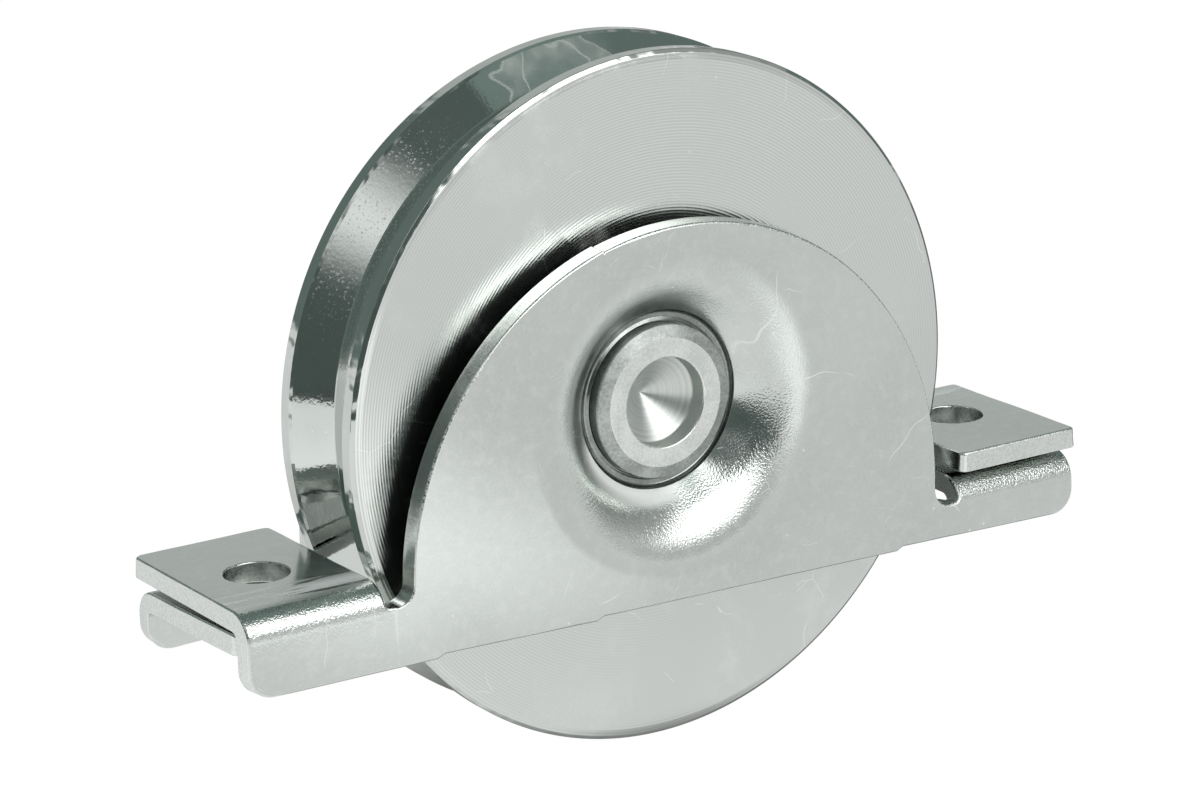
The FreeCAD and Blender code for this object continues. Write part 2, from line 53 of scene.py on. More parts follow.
# Wheel sizes
RIM = 50.0
FACE = 10.0
GROOVE_FLOOR = 45.5
GROOVE_FLOOR_HALF = 2.5
GROOVE_MOUTH_HALF = 7.0
GROOVE_LIP = 0.35
CHAMFER_WIDTH, CHAMFER_DROP = 0.40, 0.56
BEVEL_WIDTH, BEVEL_DROP = 0.16, 0.9
BORE = 23.51
BORE_CHAMFER = 0.5
SHOULDER = 21.5
BEARING_HALF = 7.0
RING_GROOVE = 24.75
RING_FOOT = 8.8
FACE_ROUND, BEVEL_ROUND, RIM_ROUND, FLOOR_ROUND = 0.6, 0.22, 0.2, 0.5
BROKEN_EDGE, SHARP_EDGE = 0.12, 0.1
WHEEL_STEPS = 360

# Pin sizes
PIN_SHANK = 9.99
PIN_HEAD = 11.2
PIN_FACE = 9.3
PIN_FALL = 0.75
PIN_SEAT = 8.9
PIN_END = 11.7
PIN_RECESS = 6.5
PIN_RECESS_FOOT = 8.9
PIN_RECESS_POINT = 5.0
PIN_TIP = 0.05
HEAD_DRAWN_IN, HEAD_LIFT = 0.1, 0.12
PIN_STEPS = 192

# Bracket sizes
SHEET = 3.0
OUTER_FACE = -16.0
HALF_LENGTH = 70.5
EAR_INNER = 48.8
EAR_ZONE = EAR_INNER - 0.5
FOLD_FROM, FOLD_OVER = 47.2, 1.4
CHEEK_RADIUS = 44.7
CHEEK_CENTRE = -18.0
CHEEK_POINTS = 160
CHEEK_STEP_ANGLE, CHEEK_STEP_HALF = 106.3, 0.25
CHEEK_STEP, CHEEK_STEP_FADE = 0.22, 14.0
BEND_OUTER = 4.2
BEND_MIDDLE = 2.7
BEND_CUTS = 12
CUTS_BEFORE, CUTS_AFTER = (1.6, 0.5), (0.6, 2.2, 4.4, 6.5)
HIGH_EAR_TOP = -15.8
LOW_EAR_TOP = -20.0
LOW_EAR_TILT = 1.8
HIGH_EAR_EDGE = 16.8
LOW_EAR_EDGE = 12.5
NOTCH_RISE = 0.9
NOTCH_ROUND, NOTCH_CORNER = 2.5, 0.4
EAR_CORNER = 1.3
WEB_CORNER = 3.8
WEB_LEFT, WEB_RIGHT = -27.8, -29.2
SHEAR_STEPS = (-41.0, -15.0, 37.5)
SHEAR_RISE, SHEAR_ROUND = 0.5, 0.9
OUTLINE_SPACING = 0.9
BOLT_PLACE = 60.0
BOLT_RADIUS = 4.5
HOLE_STEPS = 96

# Pressed dish: corners of the coined seat are radius, along, corner radius
DISH_MOUTH = 25.0
DISH_BELL, DISH_STEEPEST = 13.5, 44.0
DISH_INNER_BELL = 11.8
BELL_POINTS, INNER_POINTS = 25, 20
INNER_CORNER = 0.25
SEAT_RADIUS = 11.35
SEAT_PLAIN = ((13.02, -9.78, 0.25), (12.70, -9.02, 0.5), (11.90, -8.98, 0.6), (SEAT_RADIUS, -9.36, 0.08))
SEAT_BEADED = ((13.10, -10.02, 0.4), (12.62, -9.10, 0.5), (11.90, -8.98, 0.6), (SEAT_RADIUS, -9.36, 0.08))
SEAT_EDGE = 12.95
SEAT_INSIDE = -7.0
PIN_HOLE = 10.05
BEAD_ANGLE, BEAD_SPREAD = -122.0, 38.0
DISH_STEPS = 240

# Sheared edges: widths are counted in points along the edge
ROLL_OVER, LOWER_ROLL_LESS = 0.42, 0.17
BURR, EDGE_TAPER = 0.2, 0.06
HOLE_ROLL, HOLE_BURR, HOLE_TAPER = 0.3, 0.15, 0.03
EDGE_EASE = 1.3
ROLL_VARIES, ROLL_WIDTH = 0.16, 2.2
NICK_DEPTH, NICK_RARITY, NICK_WIDTH, NICK_SINK = 0.2, 2.1, 0.9, 0.6
RAGGED, RAGGED_WIDTH = 0.03, 0.8
ROLL_SHARES, BURR_SHARES = (0.0, 0.25, 0.5, 0.75, 1.0), (1.0, 0.62, 0.31, 0.0)
BURR_WEAR = 0.6
WALL_BANDS = range(4, 9)
WALL_DEPTH_AND_WEAR = ((1.3, 0.25), (1.9, 0.1))
LOWER_BAND, LOWER_EASE = 0.8, 2.0
# Painted shade: how soon the dark line painted along the web's lower sheared edge sets in across its rounding
PAINTED_EDGE_SHADE_RISE = 2.2
FRONT_SEED, REAR_SEED = 5, 11

# Marks of the press: tables go by the share of the bend; a mark above nought is streaky scuffing, one below nought a
# smooth pale patch of painted highlight
STRETCH_AT = ((-0.3125, 0.3125, 0.6875, 1.3125), (0.0, 1.0, 1.0, 0.0))
SCUFF_AT = ((0.1111, 1.2222, 1.7778, 2.8889), (0.0, 1.0, 1.0, 0.0))
LOW_BEND_GRAIN_AT = ((0.1, 0.4, 0.55, 0.85), (0.5, 2.1, 2.1, 0.6))
HIGH_BEND_GRAIN = 0.8
DISH_GRAIN = 0.5
GRAIN_RISE, GRAIN_MARGIN, GRAIN_FADE = 0.8, 1.5, 4.0
# Painted highlight: a smooth pale patch on the dish wall at the lower left, standing in for a reflection
HIGHLIGHT_ANGLE, HIGHLIGHT_SPREAD = -126.0, 40.0
HIGHLIGHT_INNER, HIGHLIGHT_OUTER = 12.95, 15.1
HIGHLIGHT_RISE, HIGHLIGHT_FADE = 0.1, 1.6
PAINTED_HIGHLIGHT = -1.3

# Colours of plating, and places on the wheel where it is marked
WHITE = (1.0, 1.0, 1.0, 1.0)
ZINC = (0.602, 0.634, 0.608, 1.0)
ZINC_DARK = (0.556, 0.586, 0.562, 1.0)
ZINC_PALE = (0.676, 0.704, 0.680, 1.0)
# Pale zinc of worn edges, scratches, specks and scuffing; these two also colour a painted highlight in the dish
ZINC_WORN_AND_HIGHLIGHT = (0.86, 0.88, 0.86, 1.0)
ZINC_SCUFF_AND_HIGHLIGHT = (0.97, 0.98, 0.97, 1.0)
ZINC_DUSTY = (0.95, 0.96, 0.95, 1.0)
PITTED = (0.22, 0.24, 0.23, 1.0)
# Painted shade: the dark line along the web's lower sheared edge
PAINTED_EDGE_SHADE = (0.17, 0.185, 0.175, 1.0)
SHEARED_DARK, SHEARED = (0.60, 0.63, 0.606, 1.0), (0.71, 0.735, 0.712, 1.0)
TURNED = (0.640, 0.670, 0.646, 1.0)
TURNED_DARK = (0.585, 0.612, 0.590, 1.0)
TURNED_PALE = (0.720, 0.745, 0.722, 1.0)
PIN_PALE = (0.80, 0.82, 0.80, 1.0)
PEENED_DARK, PEENED = (0.32, 0.34, 0.327, 1.0), (0.52, 0.55, 0.53, 1.0)
# Dark zinc of the seat round the pin: painted shade in the channel between the pin head and the dish wall
SEAT_SHADE_DARK, SEAT_SHADE = (0.21, 0.226, 0.216, 1.0), (0.32, 0.34, 0.327, 1.0)
DUST_PLACE = (-0.0369, 0.0048, 0.0299)
STAIN_PLACE = (-0.0085, 0.0049, 0.0468)

# Hidden steels: finish, dark and pale colour, roughness, pitch of the turning lines, nodes
HIDDEN_STEELS = (
    ("phosphated_spring_steel", (0.045, 0.046, 0.05, 1.0), (0.085, 0.085, 0.09, 1.0), 0.32, 0.0004,
     ("retaining_ring",)),
    ("ground_bearing_steel", (0.50, 0.51, 0.52, 1.0), (0.62, 0.63, 0.64, 1.0), 0.12, 0.00012,
     ("bearing_outer_ring", "bearing_inner_ring")),
    ("pressed_bright_steel", (0.52, 0.52, 0.52, 1.0), (0.66, 0.66, 0.66, 1.0), 0.22, 0.0006,
     ("front_shield", "rear_shield", "cage_front_half", "cage_rear_half", "cage_rivets")),
    ("polished_ball_steel", (0.70, 0.70, 0.71, 1.0), (0.80, 0.80, 0.80, 1.0), 0.04, 0.0010,
     tuple("ball_%d" % number for number in range(1, 9))),
)

# Studio cards: name, azimuths, elevations, distance, level, soft edge, tint
DUSK = (0.78, 1.0, 0.94, 1.0)
PALE_DUSK = (0.96, 1.0, 0.98, 1.0)
CARD_COLUMNS, CARD_ROWS = 40, 24
CARDS = (
    ("dark_behind_camera", (-180, -96), (-4.6, 17), 0.42, 0.12, 0.08, DUSK),
    ("dark_low_left", (-184, -149), (-11, 2), 0.44, 0.10, 0.10, DUSK),
    ("side_fill", (-168, -127), (21, 58), 1.0, 1.3, 0.5, WHITE),
    ("wall_left_front", (-190, -94), (8, 60), 1.2, 0.13, 0.04, DUSK),
    ("front_low_wall", (-98, -26), (0, 18), 1.1, 0.66, 0.08, WHITE),
    ("wall_right_front", (-54, -12), (0, 56), 1.2, 0.46, 0.12, WHITE),
    ("wall_right_back", (-26, 46), (0, 56), 1.25, 0.22, 0.06, DUSK),
    ("fill_back_right", (36, 92), (0, 44), 1.1, 0.57, 0.15, PALE_DUSK),
    ("wall_back_left", (80, 196), (0, 56), 1.2, 0.21, 0.06, DUSK),
    ("ceiling", (-180, 180), (50, 90), 1.3, 0.22, 0.0, DUSK),
    ("ceiling_front_left", (-165, -88), (49, 80), 1.2, 0.15, 0.06, DUSK),
    ("ceiling_front_right", (-98, -8), (49, 82), 1.22, 0.30, 0.08, DUSK),
    ("key_soft_box", (-116, -41), (14, 59), 0.9, 3.4, 0.25, WHITE),
)
FLOOR_HALF = 6.0
FLOOR_GAP = 0.00005
FLOOR_PAPER = (0.92, 0.92, 0.92, 1.0)

# Camera, fitted to the photograph
CAMERA_LENS, CAMERA_SENSOR = 126.28, 36.0
CAMERA_PLACE = (-0.315957, -0.482349, 0.170318)
CAMERA_LOOK = (0.520895, 0.803990, -0.286823)
CAMERA_ROLL = -1.5044


def unit(vectors):
    """Rows scaled to length one."""
    vectors = np.asarray(vectors, float)
    return vectors / np.maximum(np.linalg.norm(vectors, axis=-1, keepdims=True), 1e-12)


def rounded_line(corners, closed, step=9.0, fixed=0):
    """Points of a line whose corners (across, along, radius) are rounded by a bevel.

    A bevel has a segment for each step in degrees, or a fixed number.
    """
    wire = bmesh.new()
    corner = wire.verts.layers.int.new("corner")
    verts = [wire.verts.new((across, along, 0.0)) for across, along, _ in corners]
    for place, vert in enumerate(verts):
        vert[corner] = place
        if closed or place:
            wire.edges.new((verts[place - 1], vert))
    places = np.array([place[:2] for place in corners], float)
    runs = unit(np.roll(places, -1, 0) - places)
    if closed:
        before = np.roll(runs, 1, 0)
    else:
        runs[-1] = runs[-2]
        before = np.concatenate([runs[:1], runs[:-1]])
    for vert, (_, _, radius), first, second in zip(verts, corners, before, runs):
        turn = abs(math.atan2(first[0] * second[1] - first[1] * second[0], first @ second))
        if radius and turn > SAME:
            segments = fixed or max(2, math.ceil(math.degrees(turn) / step))
            bmesh.ops.bevel(wire, geom=[vert], offset=radius * math.tan(turn / 2), offset_type="OFFSET",
                            affect="VERTICES", segments=segments, profile=0.5, material=-1)
    arcs = [[] for _ in corners]
    for vert in wire.verts:
        arcs[vert[corner]].append(np.array(vert.co[:2]))
    wire.free()
    points = []
    for arc, first, second in zip(arcs, before, runs):
        points += sorted(arc, key=lambda point: point @ (first + second))
    return np.array(points)


def line_normals(points, closed):
    """Normals to the right of a line's travel; a long flat keeps its own up to its ends."""
    ahead = np.roll(points, -1, 0) - points
    behind = np.roll(ahead, 1, 0)
    if not closed:
        ahead[-1], behind[0] = 0.0, 0.0
    run = ahead + behind
    return unit(np.stack([run[:, 1], -run[:, 0]], 1))


def new_object(name, work, materials):
    """Link an object made of a bmesh, which is freed."""
    mesh = bpy.data.meshes.new(name)
    work.to_mesh(mesh)
    work.free()
    for material in materials:
        mesh.materials.append(material)
    made = bpy.data.objects.new(name, mesh)
    bpy.context.scene.collection.objects.link(made)
    return made


def finished_piece(name, work, materials, body, node):
    """Make a smooth piece of a bmesh in millimetres, let it ride on a body and stand for its solid."""
    bmesh.ops.recalc_face_normals(work, faces=work.faces)
    if work.calc_volume(signed=True) < 0:
        bmesh.ops.reverse_faces(work, faces=work.faces)
    bmesh.ops.scale(work, vec=(MM, MM, MM), verts=work.verts)
    for face in work.faces:
        face.smooth = True
    piece = new_object(name, work, materials)
    mesh = piece.data
    own = mesh.attributes["own_normal"]
    normals = np.empty(3 * len(mesh.vertices), np.float32)
    own.data.foreach_get("vector", normals)
    mesh.attributes.remove(own)
    mesh.normals_split_custom_set_from_vertices(unit(normals.reshape(-1, 3)).tolist())
    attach(piece, body)
    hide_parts(node)
    return piece


def spun(section, closed, steps, finish_at):
    """Spin a section (radius, along) about the axle; finish_at gives the finish at a radius and place along."""
    work = bmesh.new()
    work.verts.layers.float_vector.new("own_normal")
    work.verts.layers.int.new("section_point")
    own = work.verts.layers.float_vector["own_normal"]
    number = work.verts.layers.int["section_point"]
    line, edges = [], []
    for place, (radius, along) in enumerate(section):
        line.append(work.verts.new((radius, along, 0.0)))
        line[-1][number] = place
        if place:
            edges.append(work.edges.new(line[-2:]))
    if closed:
        edges.append(work.edges.new((line[-1], line[0])))
    bmesh.ops.spin(work, geom=line + edges, cent=(0.0, 0.0, 0.0), axis=(0.0, -1.0, 0.0), dvec=(0.0, 0.0, 0.0),
                   angle=2 * math.pi, steps=steps, use_merge=True)
    bmesh.ops.remove_doubles(work, verts=work.verts, dist=1e-5)
    normals = line_normals(section, closed)
    for vert in work.verts:
        way = Vector((vert.co.x, 0.0, vert.co.z)).normalized()
        radius, along = section[vert[number]]
        outward, axial = normals[vert[number]]
        vert.co = way * radius + Vector((0.0, along, 0.0))
        vert[own] = way * outward + Vector((0.0, axial, 0.0))
    for face in work.faces:
        middle = face.calc_center_median()
        face.material_index = finish_at(math.hypot(middle.x, middle.z), middle.y)
    work.verts.layers.int.remove(number)
    return work


def build_wheel(face_finish, rim_finish, groove_finish, bore_finish):
    """The wheel, turned in one section with every edge broken."""
    chamfer_foot = FACE - BEVEL_WIDTH
    chamfer_radius = RIM - CHAMFER_DROP
    half_rim = [
        (chamfer_radius - BEVEL_DROP, FACE, FACE_ROUND),
        (chamfer_radius, chamfer_foot, BEVEL_ROUND),
        (RIM, chamfer_foot - CHAMFER_WIDTH, RIM_ROUND),
        (RIM, GROOVE_MOUTH_HALF + GROOVE_LIP, SHARP_EDGE),
        (RIM - GROOVE_LIP, GROOVE_MOUTH_HALF, BROKEN_EDGE),
        (GROOVE_FLOOR, GROOVE_FLOOR_HALF, FLOOR_ROUND),
    ]
    corners = [
        (BORE + BORE_CHAMFER, -FACE, BROKEN_EDGE),
        *((across, -along, radius) for across, along, radius in half_rim),
        *reversed(half_rim),
        (SHOULDER + BORE_CHAMFER, FACE, BROKEN_EDGE),
        (SHOULDER, FACE - BORE_CHAMFER, BROKEN_EDGE),
        (SHOULDER, BEARING_HALF, SHARP_EDGE),
        (BORE, BEARING_HALF, SHARP_EDGE),
        (BORE, -BEARING_HALF, SHARP_EDGE),
        (RING_GROOVE, -BEARING_HALF, SHARP_EDGE),
        (RING_GROOVE, -RING_FOOT, SHARP_EDGE),
        (BORE, -RING_FOOT, SHARP_EDGE),
        (BORE, BORE_CHAMFER - FACE, BROKEN_EDGE),
    ]

    def finish_at(radius, along):
        if radius < RING_GROOVE + NEAR:
            return 3
        if abs(along) > chamfer_foot + HAIR:
            return 0
        return 2 if abs(along) < GROOVE_MOUTH_HALF + NEAR else 1

    work = spun(rounded_line(corners, closed=True), True, WHEEL_STEPS, finish_at)
    return finished_piece("grooved_wheel", work, [face_finish, rim_finish, groove_finish, bore_finish],
                          "wheel", "wheel")


def build_pin(head_finish, recess_finish, peened_finish):
    """The riveted pin with a peened shoulder and a drilled recess at both ends."""
    cone = (PIN_RECESS_FOOT - PIN_RECESS_POINT) / PIN_RECESS
    half = [
        (0.0, -PIN_RECESS_POINT, 0.0),
        (PIN_TIP, -PIN_RECESS_POINT - PIN_TIP * cone, 0.0),
        (PIN_RECESS, -PIN_RECESS_FOOT, 0.35),
        (PIN_RECESS, -PIN_END, 0.3),
        (PIN_FACE, -PIN_END, 0.25),
        (PIN_HEAD, PIN_FALL - PIN_END, 0.35),
        (PIN_HEAD - HEAD_DRAWN_IN, -PIN_SEAT - HEAD_LIFT, SHARP_EDGE),
        (PIN_SHANK, -PIN_SEAT, SHARP_EDGE),
    ]
    corners = half + [(across, -along, radius) for across, along, radius in reversed(half)]

    def finish_at(radius, along):
        if radius < PIN_RECESS + HAIR and abs(along) > PIN_RECESS_POINT - 2 * NEAR:
            return 1
        return 2 if radius > PIN_FACE + NEAR else 0

    work = spun(rounded_line(corners, closed=False), False, PIN_STEPS, finish_at)
    return finished_piece("riveted_pin", work, [head_finish, recess_finish, peened_finish],
                          "bracket", "axle_pin")


class Blank:
    """A bracket in its flat blank: across, up the blank, depth from the outer face."""

    def __init__(self):
        self.work = bmesh.new()
        layers = self.work.verts.layers
        marks = ("edge_wear", "stretch", "scuff_and_highlight")
        layers.float_vector.new("own_normal")
        for label in marks:
            layers.float.new(label)
        self.own = layers.float_vector["own_normal"]
        self.wear, self.stretch, self.scuff_and_highlight = (layers.float[label] for label in marks)

    def edges_of(self, loop):
        """The edges round a loop."""
        return [self.work.edges.get((loop[k - 1], vert)) for k, vert in enumerate(loop)]

    def next_loop(self, loop, finish, points, normals, wear=0.0, stretch=0.0, scuff_and_highlight=0.0):
        """Extrude a loop to its next place, or start the first loop, and mark its points."""
        if loop is None:
            after = [self.work.verts.new(point) for point in points]
            for k, vert in enumerate(after):
                self.work.edges.new((after[k - 1], vert))
        else:
            made = bmesh.ops.extrude_edge_only(self.work, edges=self.edges_of(loop))["geom"]
            fresh = {item for item in made if isinstance(item, bmesh.types.BMVert)}
            for item in made:
                if isinstance(item, bmesh.types.BMFace):
                    item.material_index = finish
            after = [next(edge.other_vert(vert) for edge in vert.link_edges if edge.other_vert(vert) in fresh)
                     for vert in loop]
        marks = [np.broadcast_to(mark, len(after)) for mark in (wear, stretch, scuff_and_highlight)]
        for k, vert in enumerate(after):
            vert.co = points[k]
            vert[self.own] = normals[k]
            vert[self.wear], vert[self.stretch], vert[self.scuff_and_highlight] = (float(mark[k]) for mark in marks)
        return after

    def fill(self, loops):
        """Fill the flat between loops, cut it across at both bends and mark the bent metal."""
        edges = [edge for loop in loops for edge in self.edges_of(loop)]
        made = bmesh.ops.triangle_fill(self.work, use_beauty=True, use_dissolve=False, edges=edges,
                                       normal=(0.0, 0.0, 1.0))
        flat = [item for item in made["geom"] if isinstance(item, bmesh.types.BMFace)]
        for side in (-1, 1):
            near = [face for face in flat if any(vert.co.x * side > EAR_ZONE for vert in face.verts)]
            flat = [face for face in flat if face not in set(near)]
            for level in bend_levels(side):
                geom = set(near)
                for face in near:
                    geom.update(face.edges, face.verts)
                cut = bmesh.ops.bisect_plane(self.work, geom=list(geom), dist=1e-4, plane_co=(0.0, level, 0.0),
                                             plane_no=(0.0, 1.0, 0.0))
                near = [item for item in cut["geom"] if isinstance(item, bmesh.types.BMFace)]
            for vert in {vert for face in near for vert in face.verts}:
                if vert.co.x * side > EAR_ZONE:
                    vert[self.stretch], vert[self.scuff_and_highlight] = bend_marks(side, vert.co.y)

    def fold(self, half_turn):
        """Fold both ears over, and turn the bracket round for the rear."""
        verts = list(self.work.verts)
        points, normals = folded(np.array([vert.co for vert in verts]), np.array([vert[self.own] for vert in verts]))
        round_again = np.array([-1.0, -1.0, 1.0]) if half_turn else np.ones(3)
        for vert, point, normal in zip(verts, points * round_again, normals * round_again):
            vert.co = point
            vert[self.own] = normal


def web_foot(across):
    """Height of the sheared lower edge."""
    return WEB_LEFT + (WEB_RIGHT - WEB_LEFT) * (across + HALF_LENGTH) / (2 * HALF_LENGTH)


def ear_lines(side):
    """Bend start, bend angle and developed free edge of the ear at the left (-1) or right (+1)."""
    top = HIGH_EAR_TOP if side < 0 else LOW_EAR_TOP
    free_edge = HIGH_EAR_EDGE if side < 0 else LOW_EAR_EDGE
    angle = math.radians(90.0 if side < 0 else 90.0 - LOW_EAR_TILT)
    start = top - BEND_OUTER
    axis = OUTER_FACE + BEND_OUTER
    flat = (free_edge - axis) / math.sin(angle)
    return start, angle, start + BEND_MIDDLE * angle + flat


def bend_rows(side):
    """Heights in the blank from the start of a bend to its end."""
    start, angle, _ = ear_lines(side)
    return [start + BEND_MIDDLE * angle * k / BEND_CUTS for k in range(BEND_CUTS + 1)]


def bend_levels(side):
    """Heights in the blank at which an ear is cut across, for its bend and its marks."""
    rows = bend_rows(side)
    return [rows[0] - run for run in CUTS_BEFORE] + rows + [rows[-1] + run for run in CUTS_AFTER]


def bend_marks(side, level):
    """How far the metal of a bend is stretched and scuffed at a height in the blank."""
    start, angle, _ = ear_lines(side)
    share = (level - start) / (BEND_MIDDLE * angle)
    stretch = np.interp(share, *STRETCH_AT)
    if side < 0:
        return stretch * HIGH_BEND_GRAIN, np.interp(share, *SCUFF_AT)
    return stretch * np.interp(share, *LOW_BEND_GRAIN_AT), 0.0


def folded(points, normals):
    """Carry the blank's points and normals to the folded bracket."""
    across, up, depth = points.T
    left = across < 0
    start = np.where(left, ear_lines(-1)[0], ear_lines(1)[0])
    angle = np.where(left, ear_lines(-1)[1], ear_lines(1)[1])
    beyond = np.clip(up - start, 0, None)
    turn = np.minimum(beyond / BEND_MIDDLE, angle)
    flat = np.clip(beyond - BEND_MIDDLE * angle, 0, None)
    arm = BEND_OUTER - depth
    bent_y = OUTER_FACE + BEND_OUTER - arm * np.cos(turn) + flat * np.sin(turn)
    bent_z = np.minimum(up, start) + arm * np.sin(turn) + flat * np.cos(turn)
    share = np.clip((np.abs(across) - FOLD_FROM) / FOLD_OVER, 0, 1)
    y = (OUTER_FACE + depth) * (1 - share) + bent_y * share
    z = up * (1 - share) + bent_z * share
    turn = turn * share
    nx, nu, nd = normals.T
    out_y = nu * np.sin(turn) + nd * np.cos(turn)
    out_z = nu * np.cos(turn) - nd * np.sin(turn)
    return np.stack([across, y, z], 1), np.stack([nx, out_y, out_z], 1)


def dense(points, spacing):
    """Closed line with no gap longer than spacing."""
    out = []
    for point, after in zip(points, np.roll(points, -1, 0)):
        pieces = max(1, math.ceil(np.linalg.norm(after - point) / spacing))
        out += [point + (after - point) * j / pieces for j in range(pieces)]
    return np.array(out)


def loop_normals(points):
    """In-plane normals of a closed line that has metal on its left."""
    ahead = unit(np.roll(points, -1, 0) - points)
    tangent = unit(ahead + np.roll(ahead, 1, 0))
    return np.stack([tangent[:, 1], -tangent[:, 0]], 1)


def cheek_corners(last):
    """The half-moon top from the right up to a last angle, with the small step that the press left in it."""
    turns = np.linspace(0.0, last, CHEEK_POINTS)
    turns = np.concatenate([turns[turns < CHEEK_STEP_ANGLE - 2 * CHEEK_STEP_HALF],
                            CHEEK_STEP_ANGLE + CHEEK_STEP_HALF * np.array([-1.0, 0.0, 1.0]),
                            turns[turns > CHEEK_STEP_ANGLE + 2 * CHEEK_STEP_HALF]])
    corners = []
    for turn in turns:
        past = turn - CHEEK_STEP_ANGLE
        radius = CHEEK_RADIUS
        if past > 0:
            radius += CHEEK_STEP * math.exp(-past / CHEEK_STEP_FADE)
        elif past == 0:
            radius -= CHEEK_STEP
        angle = math.radians(turn)
        corners.append((radius * math.cos(angle), CHEEK_CENTRE + radius * math.sin(angle), 0.0))
    return corners


def blank_outline():
    """The blank's outline with both ears unfolded, and with points where the bends begin, run and end."""
    left_start, _, left_end = ear_lines(-1)
    right_start, _, right_end = ear_lines(1)
    left_notch, right_notch = left_start + NOTCH_RISE, right_start + NOTCH_RISE
    corners = [(-HALF_LENGTH, left_end, EAR_CORNER), (-HALF_LENGTH, web_foot(-HALF_LENGTH), WEB_CORNER)]
    for place in SHEAR_STEPS:
        corners.append((place, web_foot(place), SHEAR_ROUND))
        corners.append((place + 2 * SHEAR_RISE, web_foot(place) + SHEAR_RISE, SHEAR_ROUND))
    corners += [
        (HALF_LENGTH, web_foot(HALF_LENGTH), WEB_CORNER),
        (HALF_LENGTH, right_end, EAR_CORNER),
        (EAR_INNER, right_end, EAR_CORNER),
        (EAR_INNER, right_notch, NOTCH_CORNER),
        (CHEEK_RADIUS, right_notch, NOTCH_ROUND),
    ]
    corners += cheek_corners(180.0 - math.degrees(math.asin((left_notch + NOTCH_ROUND - CHEEK_CENTRE) / CHEEK_RADIUS)))
    corners += [
        (corners[-1][0], left_notch, NOTCH_ROUND),
        (-EAR_INNER, left_notch, NOTCH_CORNER),
        (-EAR_INNER, left_end, EAR_CORNER),
    ]
    points = rounded_line(corners, closed=True, step=8.0)
    points = points[np.linalg.norm(points - np.roll(points, 1, 0), axis=1) > SAME]
    out = []
    for point, after in zip(points, np.roll(points, -1, 0)):
        out.append(point)
        if abs(point[0] - after[0]) < SAME and abs(point[0]) > EAR_INNER - 2 * NEAR:
            low, high = sorted((point[1], after[1]))
            rows = [row for row in bend_rows(-1 if point[0] < 0 else 1) if low + NEAR < row < high - NEAR]
            out += [np.array([point[0], row]) for row in (rows if after[1] > point[1] else rows[::-1])]
    return dense(np.array(out), OUTLINE_SPACING)


def bolt_circle(side):
    """Bolt hole in the blank, placed so that folding the ear brings it to the middle of the part."""
    start, angle, _ = ear_lines(side)
    axis = OUTER_FACE + BEND_OUTER
    middle = start + BEND_MIDDLE * angle + (-axis + BEND_MIDDLE * math.cos(angle)) / math.sin(angle)
    turns = np.linspace(0, -2 * math.pi, HOLE_STEPS, endpoint=False)
    return np.column_stack([side * BOLT_PLACE + BOLT_RADIUS * np.cos(turns), middle + BOLT_RADIUS * np.sin(turns)])


def smoothed(values, width):
    """Values round a closed line, averaged over their neighbours."""
    count = len(values)
    spread = np.exp(-0.5 * (np.minimum(np.arange(count), count - np.arange(count)) / width) ** 2)
    weights = np.fft.fft(spread / spread.sum())
    return np.real(np.fft.ifft((np.fft.fft(values, axis=0).T * weights).T, axis=0))


def smooth_random(rng, count, width):
    """Repeatable smooth noise round a closed line, about one in size."""
    out = smoothed(rng.normal(size=count), width)
    return out / out.std()


def edge_bands(blank, line, rng, roll_over, burr, taper, edge_shade=0.0):
    """Rounded outer edge, tapered sheared wall and inner edge along a closed line of the blank; both face rings. The
    last argument paints shade into the rounding: a dark line in place of the worn brightening.
    """
    outward = unit(smoothed(loop_normals(line), EDGE_EASE))
    count = len(line)
    roll = roll_over * (1 + ROLL_VARIES * np.clip(smooth_random(rng, count, ROLL_WIDTH), -2, 2))
    nick = np.clip(smooth_random(rng, count, NICK_WIDTH) - NICK_RARITY, 0, 1.0)
    nick = nick * NICK_DEPTH * roll / np.max(roll_over)
    ragged = RAGGED * smooth_random(rng, count, RAGGED_WIDTH)
    lean = math.atan(taper)
    deepest = SHEET - burr
    loops = []

    def ring(inset, depth, side, face, wear):
        place = line - outward * np.broadcast_to(inset, count)[:, None]
        points = np.column_stack([place, np.broadcast_to(depth, count)])
        normals = np.column_stack([outward * side, np.full(count, face)])
        finish = 1 if len(loops) in WALL_BANDS else 0
        loops.append(blank.next_loop(loops[-1] if loops else None, finish, points, normals, wear))

    last = math.pi / 2 - lean
    round_in = taper * (deepest - roll * (1 - math.cos(last))) + roll * math.sin(last) + nick
    for share in ROLL_SHARES:
        a = last * share
        # Along the lower edge the brightening gives way to painted shade, a dark line in the rounding.
        wear = math.sin(2 * a) * (1 - edge_shade) - edge_shade * min(1.0, PAINTED_EDGE_SHADE_RISE * share)
        ring(round_in - (roll + nick) * math.sin(a), (roll + nick * NICK_SINK) * (1 - math.cos(a)),
             math.sin(a), -math.cos(a), wear)
    for depth, wear in WALL_DEPTH_AND_WEAR:
        ring(taper * (deepest - depth) + np.abs(ragged), depth + 3 * ragged, math.cos(lean), -math.sin(lean), wear)
    for share in BURR_SHARES:
        a = math.pi / 2 * share
        ring(burr * (1 - math.sin(a)), SHEET - burr * (1 - math.cos(a)), math.sin(a), math.cos(a),
             BURR_WEAR * math.sin(2 * a))
    return loops[0], loops[-1]


